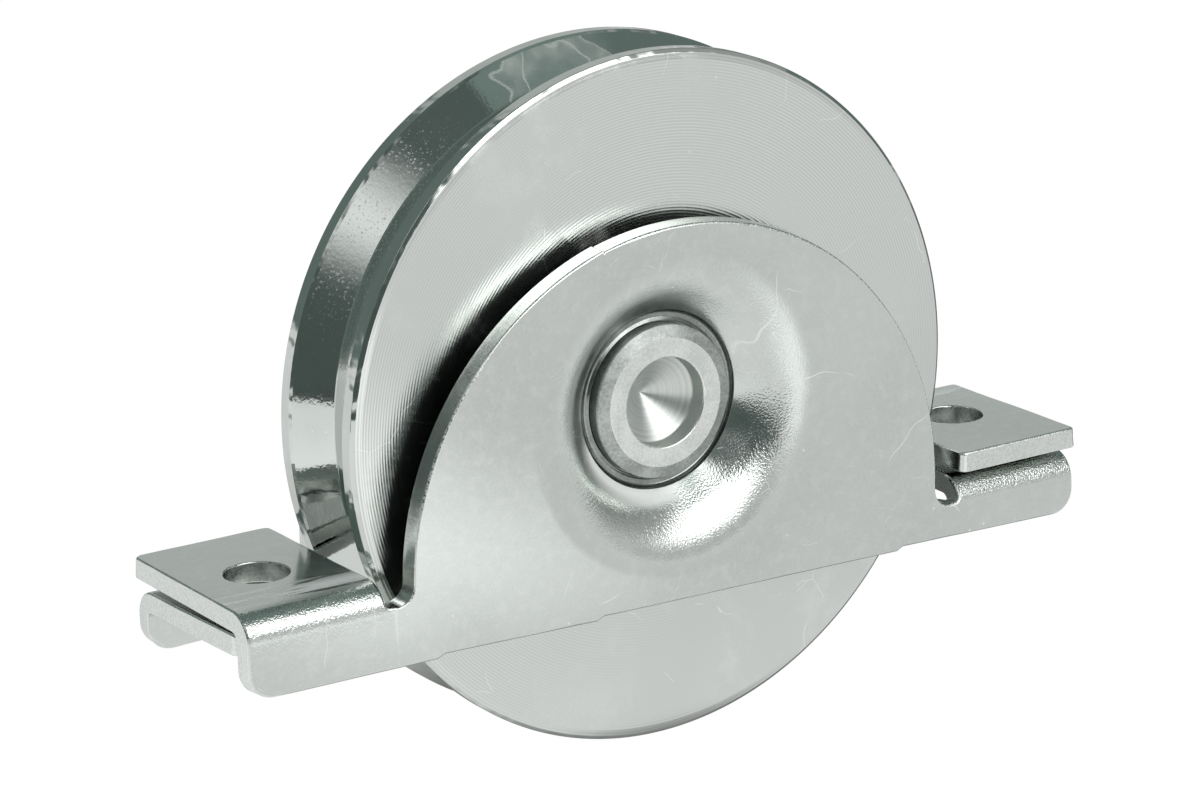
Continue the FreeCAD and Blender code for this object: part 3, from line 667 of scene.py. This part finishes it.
def dish_section(seat_corners):
    """Section of the pressed dish: a bell mouth that steepens to the coined seat, and its inner side."""
    bell = [(DISH_MOUTH - DISH_BELL * math.sin(a), OUTER_FACE + DISH_BELL * (1 - math.cos(a)))
            for a in np.radians(np.linspace(0, DISH_STEEPEST, BELL_POINTS))]
    steepest = math.acos(1 - (SEAT_INSIDE - OUTER_FACE - SHEET - INNER_CORNER) / DISH_INNER_BELL)
    inner = [(DISH_MOUTH - DISH_INNER_BELL * math.sin(a), OUTER_FACE + SHEET + DISH_INNER_BELL * (1 - math.cos(a)))
             for a in np.linspace(steepest, 0, INNER_POINTS)]
    corners = [(*bell[-1], 0.0), *seat_corners, (SEAT_RADIUS, -PIN_SEAT, SHARP_EDGE), (PIN_HOLE, -PIN_SEAT, SHARP_EDGE),
               (PIN_HOLE, SEAT_INSIDE, 0.15), (inner[0][0] - 0.3, SEAT_INSIDE, INNER_CORNER), (*inner[0], 0.0)]
    points = np.concatenate([bell[:-1], rounded_line(corners, closed=False, fixed=8), inner[1:]])
    normals = -line_normals(points, closed=False)
    normals[0], normals[-1] = (0.0, -1.0), (0.0, 1.0)
    return points, normals


def near_angle(turns, angle, spread, power):
    """One at an angle round the axle, falling to nought past a spread on both sides."""
    off = (np.degrees(turns) - angle + 180) % 360 - 180
    return np.exp(-(off / spread) ** power)


def press_dish(blank):
    """Loops of the pressed dish, from its mouth over the coined seat to its inner side; the first and the last."""
    plain, plain_normals = dish_section(SEAT_PLAIN)
    beaded, beaded_normals = dish_section(SEAT_BEADED)
    turns = np.linspace(0, -2 * math.pi, DISH_STEPS, endpoint=False)
    c, s = np.cos(turns), np.sin(turns)
    bead = near_angle(turns, BEAD_ANGLE, BEAD_SPREAD, 2)[:, None]
    # A smooth pale patch of painted highlight at the lower left of the dish wall
    pale_patch = near_angle(turns, HIGHLIGHT_ANGLE, HIGHLIGHT_SPREAD, 4)
    loops = []
    for ring in range(len(plain)):
        radius, along = (plain[ring] * (1 - bead) + beaded[ring] * bead).T
        outward, axial = unit(plain_normals[ring] * (1 - bead) + beaded_normals[ring] * bead).T
        points = np.column_stack([radius * c, radius * s, along - OUTER_FACE])
        normals = np.column_stack([outward * c, outward * s, axial])
        rising, falling = (radius - SEAT_EDGE) / GRAIN_RISE, (DISH_MOUTH - GRAIN_MARGIN - radius) / GRAIN_FADE
        stretch = np.clip(np.minimum(rising, falling), 0, 1) * DISH_GRAIN
        inner_side = np.clip((radius - HIGHLIGHT_INNER) / HIGHLIGHT_RISE, 0, 1)
        outer_side = np.clip((HIGHLIGHT_OUTER - radius) / HIGHLIGHT_FADE, 0, 1)
        scuff_and_highlight = pale_patch * inner_side * outer_side * PAINTED_HIGHLIGHT * float(plain[ring][1] < -PIN_SEAT)
        middle = (plain[ring] + plain[ring - 1]) / 2
        # The seat ring takes the dark seat finish, which is painted shade.
        finish = 2 if middle[0] < SEAT_EDGE and middle[1] < 2 * NEAR - PIN_SEAT else 0
        loops.append(blank.next_loop(loops[-1] if loops else None, finish, points, normals, 0.0, stretch, scuff_and_highlight))
    return loops[0], loops[-1]


def build_bracket(name, node, half_turn, face_finish, edge_finish, seat_shade_finish):
    """A stamped bracket: blank with rolled and sheared edges, pressed dish, two folded ears."""
    rng = np.random.default_rng(REAR_SEED if half_turn else FRONT_SEED)
    blank = Blank()
    outline = blank_outline()
    across, up = outline.T
    lower = (up < web_foot(across) + LOWER_BAND) & (np.abs(across) < HALF_LENGTH - WEB_CORNER)
    lower = np.clip(smoothed(lower.astype(float), LOWER_EASE), 0, 1)
    # The lower edge gets a smaller roll and a dark line of painted shade.
    rings = [edge_bands(blank, outline, rng, ROLL_OVER - LOWER_ROLL_LESS * lower, BURR, EDGE_TAPER, lower)]
    for side in (-1, 1):
        rings.append(edge_bands(blank, bolt_circle(side), rng, HOLE_ROLL, HOLE_BURR, HOLE_TAPER))
    rings.append(press_dish(blank))
    for face_rings in zip(*rings):
        blank.fill(face_rings)
    blank.fold(half_turn)
    return finished_piece(name, blank.work, [face_finish, edge_finish, seat_shade_finish], "bracket", node)


class Finish:
    """Shader nodes of a material or of the world, wired by short calls on the piece's own coordinates."""

    def __init__(self, owner):
        self.owner = owner
        owner.use_nodes = True
        self.tree = owner.node_tree
        self.tree.nodes.clear()
        self.place = self.node("ShaderNodeTexCoord").outputs["Object"]
        self.across, self.along, self.up = self.node("ShaderNodeSeparateXYZ", {0: self.place}).outputs

    def node(self, kind, inputs=None, **settings):
        """Add a node, set it up and wire its inputs."""
        made = self.tree.nodes.new(kind)
        for key, value in settings.items():
            setattr(made, key, value)
        for key, value in (inputs or {}).items():
            if isinstance(value, bpy.types.NodeSocket):
                self.tree.links.new(value, made.inputs[key])
            else:
                made.inputs[key].default_value = value
        return made

    def calc(self, operation, first, second=None, clamp=False):
        """A sum, product or like of two values."""
        inputs = {0: first} if second is None else {0: first, 1: second}
        return self.node("ShaderNodeMath", inputs, operation=operation, use_clamp=clamp).outputs[0]

    def times(self, first, second, clamp=False):
        """Product of two values."""
        return self.calc("MULTIPLY", first, second, clamp)

    def rest_of(self, share):
        """One less a share."""
        return self.calc("SUBTRACT", 1.0, share)

    def most(self, first, *others):
        """The largest of some values."""
        for other in others:
            first = self.calc("MAXIMUM", first, other)
        return first

    def total(self, *pairs, base=0.0):
        """Sum of values times their weights, and of a base."""
        out = None
        for value, weight in pairs:
            part = self.times(value, weight)
            out = part if out is None else self.calc("ADD", out, part)
        return self.calc("ADD", out, base) if base else out

    def step(self, value, low, high, first=0.0, last=1.0):
        """A smooth step from first to last as a value goes from low to high."""
        return self.node("ShaderNodeMapRange", {
            "Value": value, "From Min": low, "From Max": high, "To Min": first, "To Max": last},
            interpolation_type="SMOOTHSTEP").outputs[0]

    def mix(self, first, second, share, strength=1.0):
        """A colour with a share of a second one."""
        share = share if strength == 1.0 else self.times(share, strength)
        return self.node("ShaderNodeMix", {0: share, 6: first, 7: second}, data_type="RGBA").outputs[2]

    def vector(self, operation, first, second=None):
        """A vector sum, or the length of a vector, or the distance of two points."""
        inputs = {0: first} if second is None else {0: first, 1: second}
        made = self.node("ShaderNodeVectorMath", inputs, operation=operation).outputs
        return made["Value" if operation in ("DISTANCE", "LENGTH") else "Vector"]

    def attribute(self, label):
        """A value kept on the mesh."""
        return self.node("ShaderNodeAttribute", attribute_name=label).outputs["Fac"]

    def noise(self, scale, detail=2.0, roughness=0.55, place=None):
        """Cloudy noise in three dimensions."""
        return self.node("ShaderNodeTexNoise", {
            "Vector": self.place if place is None else place, "Scale": scale, "Detail": detail,
            "Roughness": roughness}).outputs["Fac"]

    def stretched(self, scale, turn=(0.0, 0.0, 0.0)):
        """Coordinates turned and stretched for lines in one direction."""
        return self.node("ShaderNodeMapping", {"Vector": self.place, "Rotation": turn, "Scale": scale}).outputs[0]

    def wander(self, scale, reach):
        """A random push of up to about half a reach in any direction."""
        drift = self.node("ShaderNodeTexNoise", {"Vector": self.place, "Scale": scale, "Detail": 2.0})
        drift = self.vector("SUBTRACT", drift.outputs["Color"], (0.5, 0.5, 0.5))
        return self.node("ShaderNodeVectorMath", {0: drift, "Scale": reach}, operation="SCALE").outputs[0]

    def around_axle(self):
        """Distance from the axle."""
        squares = self.total((self.across, self.across), (self.up, self.up))
        return self.calc("SQRT", squares)

    def ring_lines(self, radius, pitch, detail=1.5):
        """Uneven turning lines of a given pitch."""
        return self.node("ShaderNodeTexNoise", {
            "W": self.times(radius, 1.0 / pitch), "Scale": 1.0, "Detail": detail, "Roughness": 0.6},
            noise_dimensions="1D").outputs["Fac"]

    def even_lines(self, radius, pitch, sway):
        """Even turning lines that wander a little."""
        drift = self.ring_lines(radius, pitch * 9.0)
        wave = self.calc("SINE", self.total((radius, 2 * math.pi / pitch), (drift, sway)))
        return self.total((wave, 0.5), base=0.5)

    def scratches(self, scale, width, rarity):
        """Hairline scratches: thin broken curves that branch here and there."""
        shifted = self.vector("ADD", self.place, self.wander(scale * 2.2, 0.28 / scale))
        cells = self.node("ShaderNodeTexVoronoi", {"Vector": shifted, "Scale": scale}, feature="DISTANCE_TO_EDGE")
        line = self.step(cells.outputs["Distance"], width * scale, 0.0)
        return self.times(line, self.step(self.noise(scale * 1.7, 3.0), rarity, rarity + 0.05))

    def specks(self, scale, size, share):
        """Scattered small spots in a share of the cells."""
        cells = self.node("ShaderNodeTexVoronoi", {"Vector": self.place, "Scale": scale}).outputs
        spot = self.step(cells["Distance"], size, size * 0.45)
        picked = self.node("ShaderNodeSeparateColor", {0: cells["Color"]}).outputs[0]
        return self.times(spot, self.calc("LESS_THAN", picked, share))

    def surface(self, kind, **inputs):
        """A plain shader."""
        return self.node(kind, {key.capitalize(): value for key, value in inputs.items()}).outputs[0]

    def either(self, share, first, second):
        """A mix of two shaders."""
        return self.node("ShaderNodeMixShader", {0: share, 1: first, 2: second}).outputs[0]

    def put_out(self, shader, kind="ShaderNodeOutputMaterial"):
        """End in a shader; the material or world is done."""
        self.node(kind, {"Surface": shader})
        return self.owner

    def metal(self, colour, roughness, height, depth, anisotropic=0.0):
        """Bare metal with a bumped surface; the material is done."""
        bump = self.node("ShaderNodeBump", {"Strength": 1.0, "Distance": depth, "Height": height})
        shader = self.node("ShaderNodeBsdfPrincipled", {
            "Base Color": colour, "Metallic": 1.0, "Roughness": roughness, "Normal": bump.outputs[0]})
        if anisotropic:
            shader.inputs["Anisotropic"].default_value = anisotropic
            shader.inputs["Anisotropic Rotation"].default_value = 0.25
            tangent = self.node("ShaderNodeTangent", direction_type="RADIAL", axis="Y")
            self.tree.links.new(tangent.outputs[0], shader.inputs["Tangent"])
        return self.put_out(shader.outputs[0])


def new_finish(name):
    """Start a material."""
    return Finish(bpy.data.materials.new(name))


def zinc_sheet():
    """Bright zinc on sheet steel: hairlines, specks, scuffs, and a grain where the sheet was drawn or bent; a pale
    patch of painted highlight in the dish and a dark line of painted shade along the lower sheared edge.
    """
    f = new_finish("zinc_sheet")
    drawn, wear, scuff_and_highlight = f.attribute("stretch"), f.attribute("edge_wear"), f.attribute("scuff_and_highlight")
    cloud = f.noise(45.0, 3.0)
    mottle = f.noise(500.0)
    grain = f.noise(3400.0, 1.0, 0.6)
    ripple = f.noise(300.0, 1.0)
    streak = f.noise(650.0, place=f.stretched((0.07, 1.0, 1.0), (0.0, 0.0, 0.35)))
    streaky = f.times(scuff_and_highlight, f.calc("ADD", f.step(streak, 0.48, 0.58), 1.0))
    streaky = f.calc("SUBTRACT", streaky, 1.0, clamp=True)
    # Marks below nought give a smooth pale patch of painted highlight in the dish; marks above nought are streaky
    # scuffing.
    pale_patch = f.most(streaky, f.times(scuff_and_highlight, -1.0, clamp=True))
    lines = f.most(f.scratches(34.0, 0.00011, 0.55), f.times(f.scratches(110.0, 0.00007, 0.58), 0.7))
    dots = f.specks(300.0, 0.085, 0.40)
    chips = f.times(wear, f.step(grain, 0.40, 0.58), clamp=True)
    # Negative edge marks are painted shade: a dark line along the web's lower sheared edge.
    edge_shade = f.times(wear, -1.0, clamp=True)
    bright = f.most(lines, dots, chips, pale_patch)
    pale = f.total((f.step(mottle, 0.45, 0.72), 0.34), (f.step(grain, 0.40, 0.62), 0.22))
    pits = f.times(f.step(drawn, 0.5, 1.6), f.step(grain, 0.54, 0.38))
    colour = f.mix(ZINC_DARK, ZINC, f.step(cloud, 0.30, 0.70))
    colour = f.mix(colour, ZINC_PALE, pale)
    colour = f.mix(colour, PITTED, pits, 0.65)
    colour = f.mix(colour, ZINC_WORN_AND_HIGHLIGHT, bright, 0.85)
    colour = f.mix(colour, ZINC_SCUFF_AND_HIGHLIGHT, pale_patch)
    colour = f.mix(colour, PAINTED_EDGE_SHADE, edge_shade)
    rough = f.total((cloud, 0.08), (mottle, 0.06), (bright, 0.22), (chips, 0.16), (pale_patch, 0.50), base=0.10)
    patches = f.noise(420.0, place=f.stretched((0.3, 1.0, 1.0)))
    gaps = f.times(f.step(patches, 0.62, 0.38, 0.0, 0.6), f.step(drawn, 0.7, 1.2))
    swell = f.total((f.times(drawn, f.rest_of(gaps)), 0.95), base=0.02)
    height = f.total((f.times(grain, swell), 1.0), (ripple, 0.20))
    return f.metal(colour, rough, height, 0.000095)


def zinc_sheared_edge():
    """Zinc over a sheared edge: fine torn grain under bright plating."""
    f = new_finish("zinc_sheared_edge")
    grain = f.noise(3200.0, 1.0, 0.6)
    tears = f.noise(1100.0, 1.0, place=f.stretched((1.0, 0.25, 1.0)))
    cloud = f.noise(160.0)
    colour = f.mix(SHEARED_DARK, SHEARED, f.step(grain, 0.32, 0.62))
    rough = f.total((grain, 0.10), (cloud, 0.10), base=0.13)
    return f.metal(colour, rough, f.total((grain, 0.45), (tears, 1.2)), 0.000012)


def zinc_turned_face():
    """Faced side of the wheel: even turning lines, fainter and so darker low down and towards the right, with rub marks
    and hairlines.
    """
    f = new_finish("zinc_turned_face")
    radius = f.around_axle()
    toward_upper_left = f.total((f.up, 1.0), (f.across, -0.5))
    lines = f.even_lines(radius, 0.00044, 3.0)
    uneven = f.ring_lines(radius, 0.0011)
    cloud = f.noise(40.0, 3.0)
    pale_patch = f.step(f.noise(75.0, 4.0, 0.65), 0.51, 0.66)
    bright = f.most(f.times(f.scratches(60.0, 0.00011, 0.55), 0.9), f.specks(210.0, 0.06, 0.30))
    depth = f.times(f.step(toward_upper_left, -0.042, -0.005, 0.12, 0.80), f.rest_of(f.times(pale_patch, 0.65)))
    colour = f.mix(TURNED_DARK, TURNED_PALE, f.times(lines, depth))
    colour = f.mix(colour, TURNED, f.step(cloud, 0.35, 0.7), 0.5)
    colour = f.mix(colour, TURNED_PALE, pale_patch, 0.50)
    colour = f.mix(colour, ZINC_WORN_AND_HIGHLIGHT, bright, 0.7)
    rough = f.total((uneven, 0.04), (pale_patch, 0.12), (cloud, 0.04), (bright, 0.1), base=0.12)
    height = f.total((lines, 1.0), (uneven, 0.35), (pale_patch, -0.2))
    return f.metal(colour, rough, height, 0.000008, 0.66)


def zinc_rim():
    """Finely turned rim and chamfers, almost mirror bright."""
    f = new_finish("zinc_rim")
    lines = f.ring_lines(f.calc("ADD", f.along, 1.0), 0.00016)
    cloud = f.noise(120.0, 3.0)
    grain = f.noise(1500.0)
    wave = f.noise(170.0)
    nicks = f.specks(520.0, 0.10, 0.30)
    colour = f.mix(ZINC_DARK, ZINC, f.step(cloud, 0.3, 0.7))
    colour = f.mix(colour, ZINC_WORN_AND_HIGHLIGHT, nicks, 0.6)
    rough = f.total((cloud, 0.06), (grain, 0.05), (nicks, 0.15), base=0.05)
    return f.metal(colour, rough, f.total((lines, 0.35), (grain, 0.2), (nicks, 0.8), (wave, 42.0)), 0.000012)


def zinc_groove():
    """Groove flanks: mirror-bright plating with speckles, faint streaks and one dried plating stain at the top."""
    f = new_finish("zinc_groove")
    cloud = f.noise(70.0, 3.0)
    speckle = f.noise(1900.0, 1.0, 0.6)
    ripple = f.noise(260.0, 1.0)
    streak = f.noise(420.0, place=f.stretched((1.0, 0.12, 1.0)))
    dusty = f.step(f.vector("DISTANCE", f.place, DUST_PLACE), 0.024, 0.005)
    fine_dust = f.times(f.step(f.noise(2600.0, 1.0, 0.6), 0.58, 0.72), dusty)
    dots = f.most(f.times(f.specks(900.0, 0.20, 0.30), f.total((dusty, 0.8), base=0.2)), fine_dust)
    spot = f.vector("ADD", f.vector("SUBTRACT", f.place, STAIN_PLACE), f.wander(110.0, 0.013))
    reach = f.vector("LENGTH", spot)
    film = f.step(reach, 0.0094, 0.0088)
    tide = f.times(film, f.step(reach, 0.0081, 0.0090))
    inner_tide = f.times(f.step(reach, 0.0052, 0.0047), f.step(reach, 0.0040, 0.0047))
    haze = f.times(film, f.total((f.step(cloud, 0.35, 0.65), 0.25), (film, 0.12)))
    haze = f.most(haze, f.times(f.most(tide, inner_tide), 0.62))
    smears = f.times(f.step(cloud, 0.52, 0.72), f.step(streak, 0.35, 0.75))
    colour = f.mix(ZINC_DARK, ZINC, f.step(cloud, 0.3, 0.7))
    colour = f.mix(colour, ZINC_DUSTY, dots, 0.9)
    rough = f.total((cloud, 0.05), (dots, 0.3), (haze, 0.75), (smears, 0.3), (dusty, 0.08), base=0.045)
    return f.metal(colour, rough, f.total((speckle, 0.55), (ripple, 1.1), (streak, 0.35)), 0.000014)


def zinc_pin_head(name, first, second, grain_depth, base_rough):
    """Riveted pin end, or the seat round it in dark colours that paint the shade of its channel: dull hammered zinc
    with faint rings.
    """
    f = new_finish(name)
    rings = f.ring_lines(f.around_axle(), 0.00055)
    grain = f.noise(2300.0, 2.0, 0.6)
    cloud = f.noise(260.0)
    colour = f.mix(first, second, f.step(f.total((cloud, 0.5), (grain, 0.5)), 0.36, 0.64))
    rough = f.total((cloud, 0.12), (grain, 0.14), base=base_rough)
    return f.metal(colour, rough, f.total((grain, 1.0), (rings, 0.3)), grain_depth)


def zinc_drilled():
    """Drilled recess with the drill's ring marks."""
    f = new_finish("zinc_drilled")
    rings = f.ring_lines(f.around_axle(), 0.00040, 2.0)
    grain = f.noise(2400.0)
    colour = f.mix(ZINC_DARK, ZINC_PALE, f.step(rings, 0.3, 0.7))
    rough = f.total((rings, 0.12), (grain, 0.06), base=0.29)
    return f.metal(colour, rough, f.total((rings, 1.0), (grain, 0.2)), 0.000006, 0.75)


def hidden_steel(name, first, second, base_rough, line_pitch):
    """Machined or pressed steel of the parts inside the wheel."""
    f = new_finish(name)
    lines = f.ring_lines(f.around_axle(), line_pitch)
    grain = f.noise(1800.0)
    cloud = f.noise(150.0, 3.0)
    colour = f.mix(first, second, f.step(cloud, 0.3, 0.7))
    rough = f.total((cloud, 0.10), (grain, 0.08), (lines, 0.06), base=base_rough)
    return f.metal(colour, rough, f.total((lines, 0.7), (grain, 0.4)), 0.00001)


def studio_panel(name, azimuths, elevations, distance, level, soft, tint):
    """A curved card that faces the part, seen by reflections and not by the camera."""
    work = bmesh.new()
    fade = work.verts.layers.float.new("fade")
    bmesh.ops.create_grid(work, x_segments=CARD_COLUMNS, y_segments=CARD_ROWS, size=0.5)
    for vert in work.verts:
        u, v = vert.co.x + 0.5, vert.co.y + 0.5
        a = math.radians(azimuths[0] + (azimuths[1] - azimuths[0]) * u)
        e = math.radians(elevations[0] + (elevations[1] - elevations[0]) * v)
        vert.co = Vector((math.cos(a) * math.cos(e), math.sin(a) * math.cos(e), math.sin(e))) * distance
        rim = min(u, 1 - u, v, 1 - v) / soft if soft else 1.0
        rim = min(max(rim, 0.0), 1.0)
        vert[fade] = rim * rim * (3 - 2 * rim)
    f = new_finish(name)
    glow = f.surface("ShaderNodeEmission", color=tint, strength=level)
    material = f.put_out(f.either(f.attribute("fade"), f.surface("ShaderNodeBsdfTransparent"), glow))
    if level < 1.0:
        material.cycles.emission_sampling = "NONE"
    panel = new_object(name, work, [material])
    panel.visible_camera = False


def white_world():
    """White background for camera, gloss and glass, and a dimmer one for the rest."""
    f = Finish(bpy.data.worlds.new("white_studio"))
    rays = f.node("ShaderNodeLightPath").outputs
    seen = f.most(rays["Is Camera Ray"], rays["Is Glossy Ray"], rays["Is Transmission Ray"])
    dim = f.surface("ShaderNodeBackground", color=WHITE, strength=0.8)
    white = f.surface("ShaderNodeBackground", color=WHITE, strength=1.0)
    return f.put_out(f.either(seen, dim, white), "ShaderNodeOutputWorld")


def white_floor():
    """White paper that keeps the shadow; in reflections it has the photograph's pool of light and its dim far side."""
    f = new_finish("white_floor")
    paper = f.surface("ShaderNodeBsdfDiffuse", color=FLOOR_PAPER)
    glow = f.surface("ShaderNodeEmission", color=WHITE, strength=1.05)
    # Painted light on the glow seen in reflections: brighter in a pool, to the left and near, dimmer far behind
    pool = f.times(f.step(f.across, -0.05, -0.005), f.step(f.across, 0.015, 0.06, 1.0, 0.0))
    pool = f.times(pool, f.step(f.along, -0.055, -0.115))
    left = f.step(f.across, 0.02, -0.03)
    far_left = f.step(f.across, -0.06, -0.13)
    near = f.step(f.along, -0.075, -0.04)
    # Painted shadow: the glow is darker under the part.
    under = f.times(f.step(f.along, -0.016, -0.008), f.step(f.across, -0.05, -0.02))
    level = f.total((pool, 0.62), (left, 0.07), (near, 0.12), (far_left, 0.22), base=0.88)
    level = f.times(level, f.step(f.along, 0.0, 0.08, 1.0, 0.80))
    level = f.times(level, f.rest_of(f.times(under, 0.8)))
    falling_off = f.surface("ShaderNodeEmission", color=WHITE, strength=level)
    rays = f.node("ShaderNodeLightPath").outputs
    gloss = f.most(rays["Is Glossy Ray"], rays["Is Transmission Ray"])
    unseen = f.either(gloss, paper, f.either(0.85, paper, falling_off))
    return f.put_out(f.either(rays["Is Camera Ray"], unseen, f.either(0.94, paper, glow)))


def build_studio():
    """White floor and background, soft boxes and grey cards."""
    bpy.context.scene.world = white_world()
    work = bmesh.new()
    bmesh.ops.create_grid(work, x_segments=1, y_segments=1, size=FLOOR_HALF)
    bmesh.ops.translate(work, vec=(0.0, 0.0, -RIM * MM - FLOOR_GAP), verts=work.verts)
    floor = new_object("studio_floor", work, [white_floor()])
    for card in CARDS:
        studio_panel(*card)


def build_camera():
    """Camera where the photograph was taken from."""
    data = bpy.data.cameras.new("photo_camera")
    data.lens = CAMERA_LENS
    data.sensor_width = CAMERA_SENSOR
    data.clip_start, data.clip_end = 0.01, 50.0
    camera = bpy.data.objects.new("photo_camera", data)
    camera.location = CAMERA_PLACE
    level = Vector(CAMERA_LOOK).to_track_quat("-Z", "Y")
    camera.rotation_mode = "QUATERNION"
    camera.rotation_quaternion = level @ Quaternion((0.0, 0.0, 1.0), math.radians(CAMERA_ROLL))
    bpy.context.scene.collection.objects.link(camera)
    bpy.context.scene.camera = camera


sheet_finish = zinc_sheet()
edge_finish = zinc_sheared_edge()
# Painted shade: the seat round the pin is coloured dark.
seat_shade_finish = zinc_pin_head("zinc_seat_painted_shade", SEAT_SHADE_DARK, SEAT_SHADE, 0.000003, 0.03)
build_wheel(zinc_turned_face(), zinc_rim(), zinc_groove(), hidden_steel("bored_steel", ZINC_DARK, ZINC, 0.2, 0.0003))
build_pin(zinc_pin_head("zinc_pin_face", TURNED, PIN_PALE, 0.000016, 0.13), zinc_drilled(),
          zinc_pin_head("zinc_peened", PEENED_DARK, PEENED, 0.00003, 0.30))
build_bracket("stamped_front_bracket", "front_bracket", False, sheet_finish, edge_finish, seat_shade_finish)
build_bracket("stamped_rear_bracket", "rear_bracket", True, sheet_finish, edge_finish, seat_shade_finish)
for name, dark, pale, rough, pitch, nodes in HIDDEN_STEELS:
    steel = hidden_steel(name, dark, pale, rough, pitch)
    for node in nodes:
        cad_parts[node].data.materials[0] = steel
build_studio()
build_camera()
scene = bpy.context.scene
scene.view_settings.view_transform = "Standard"
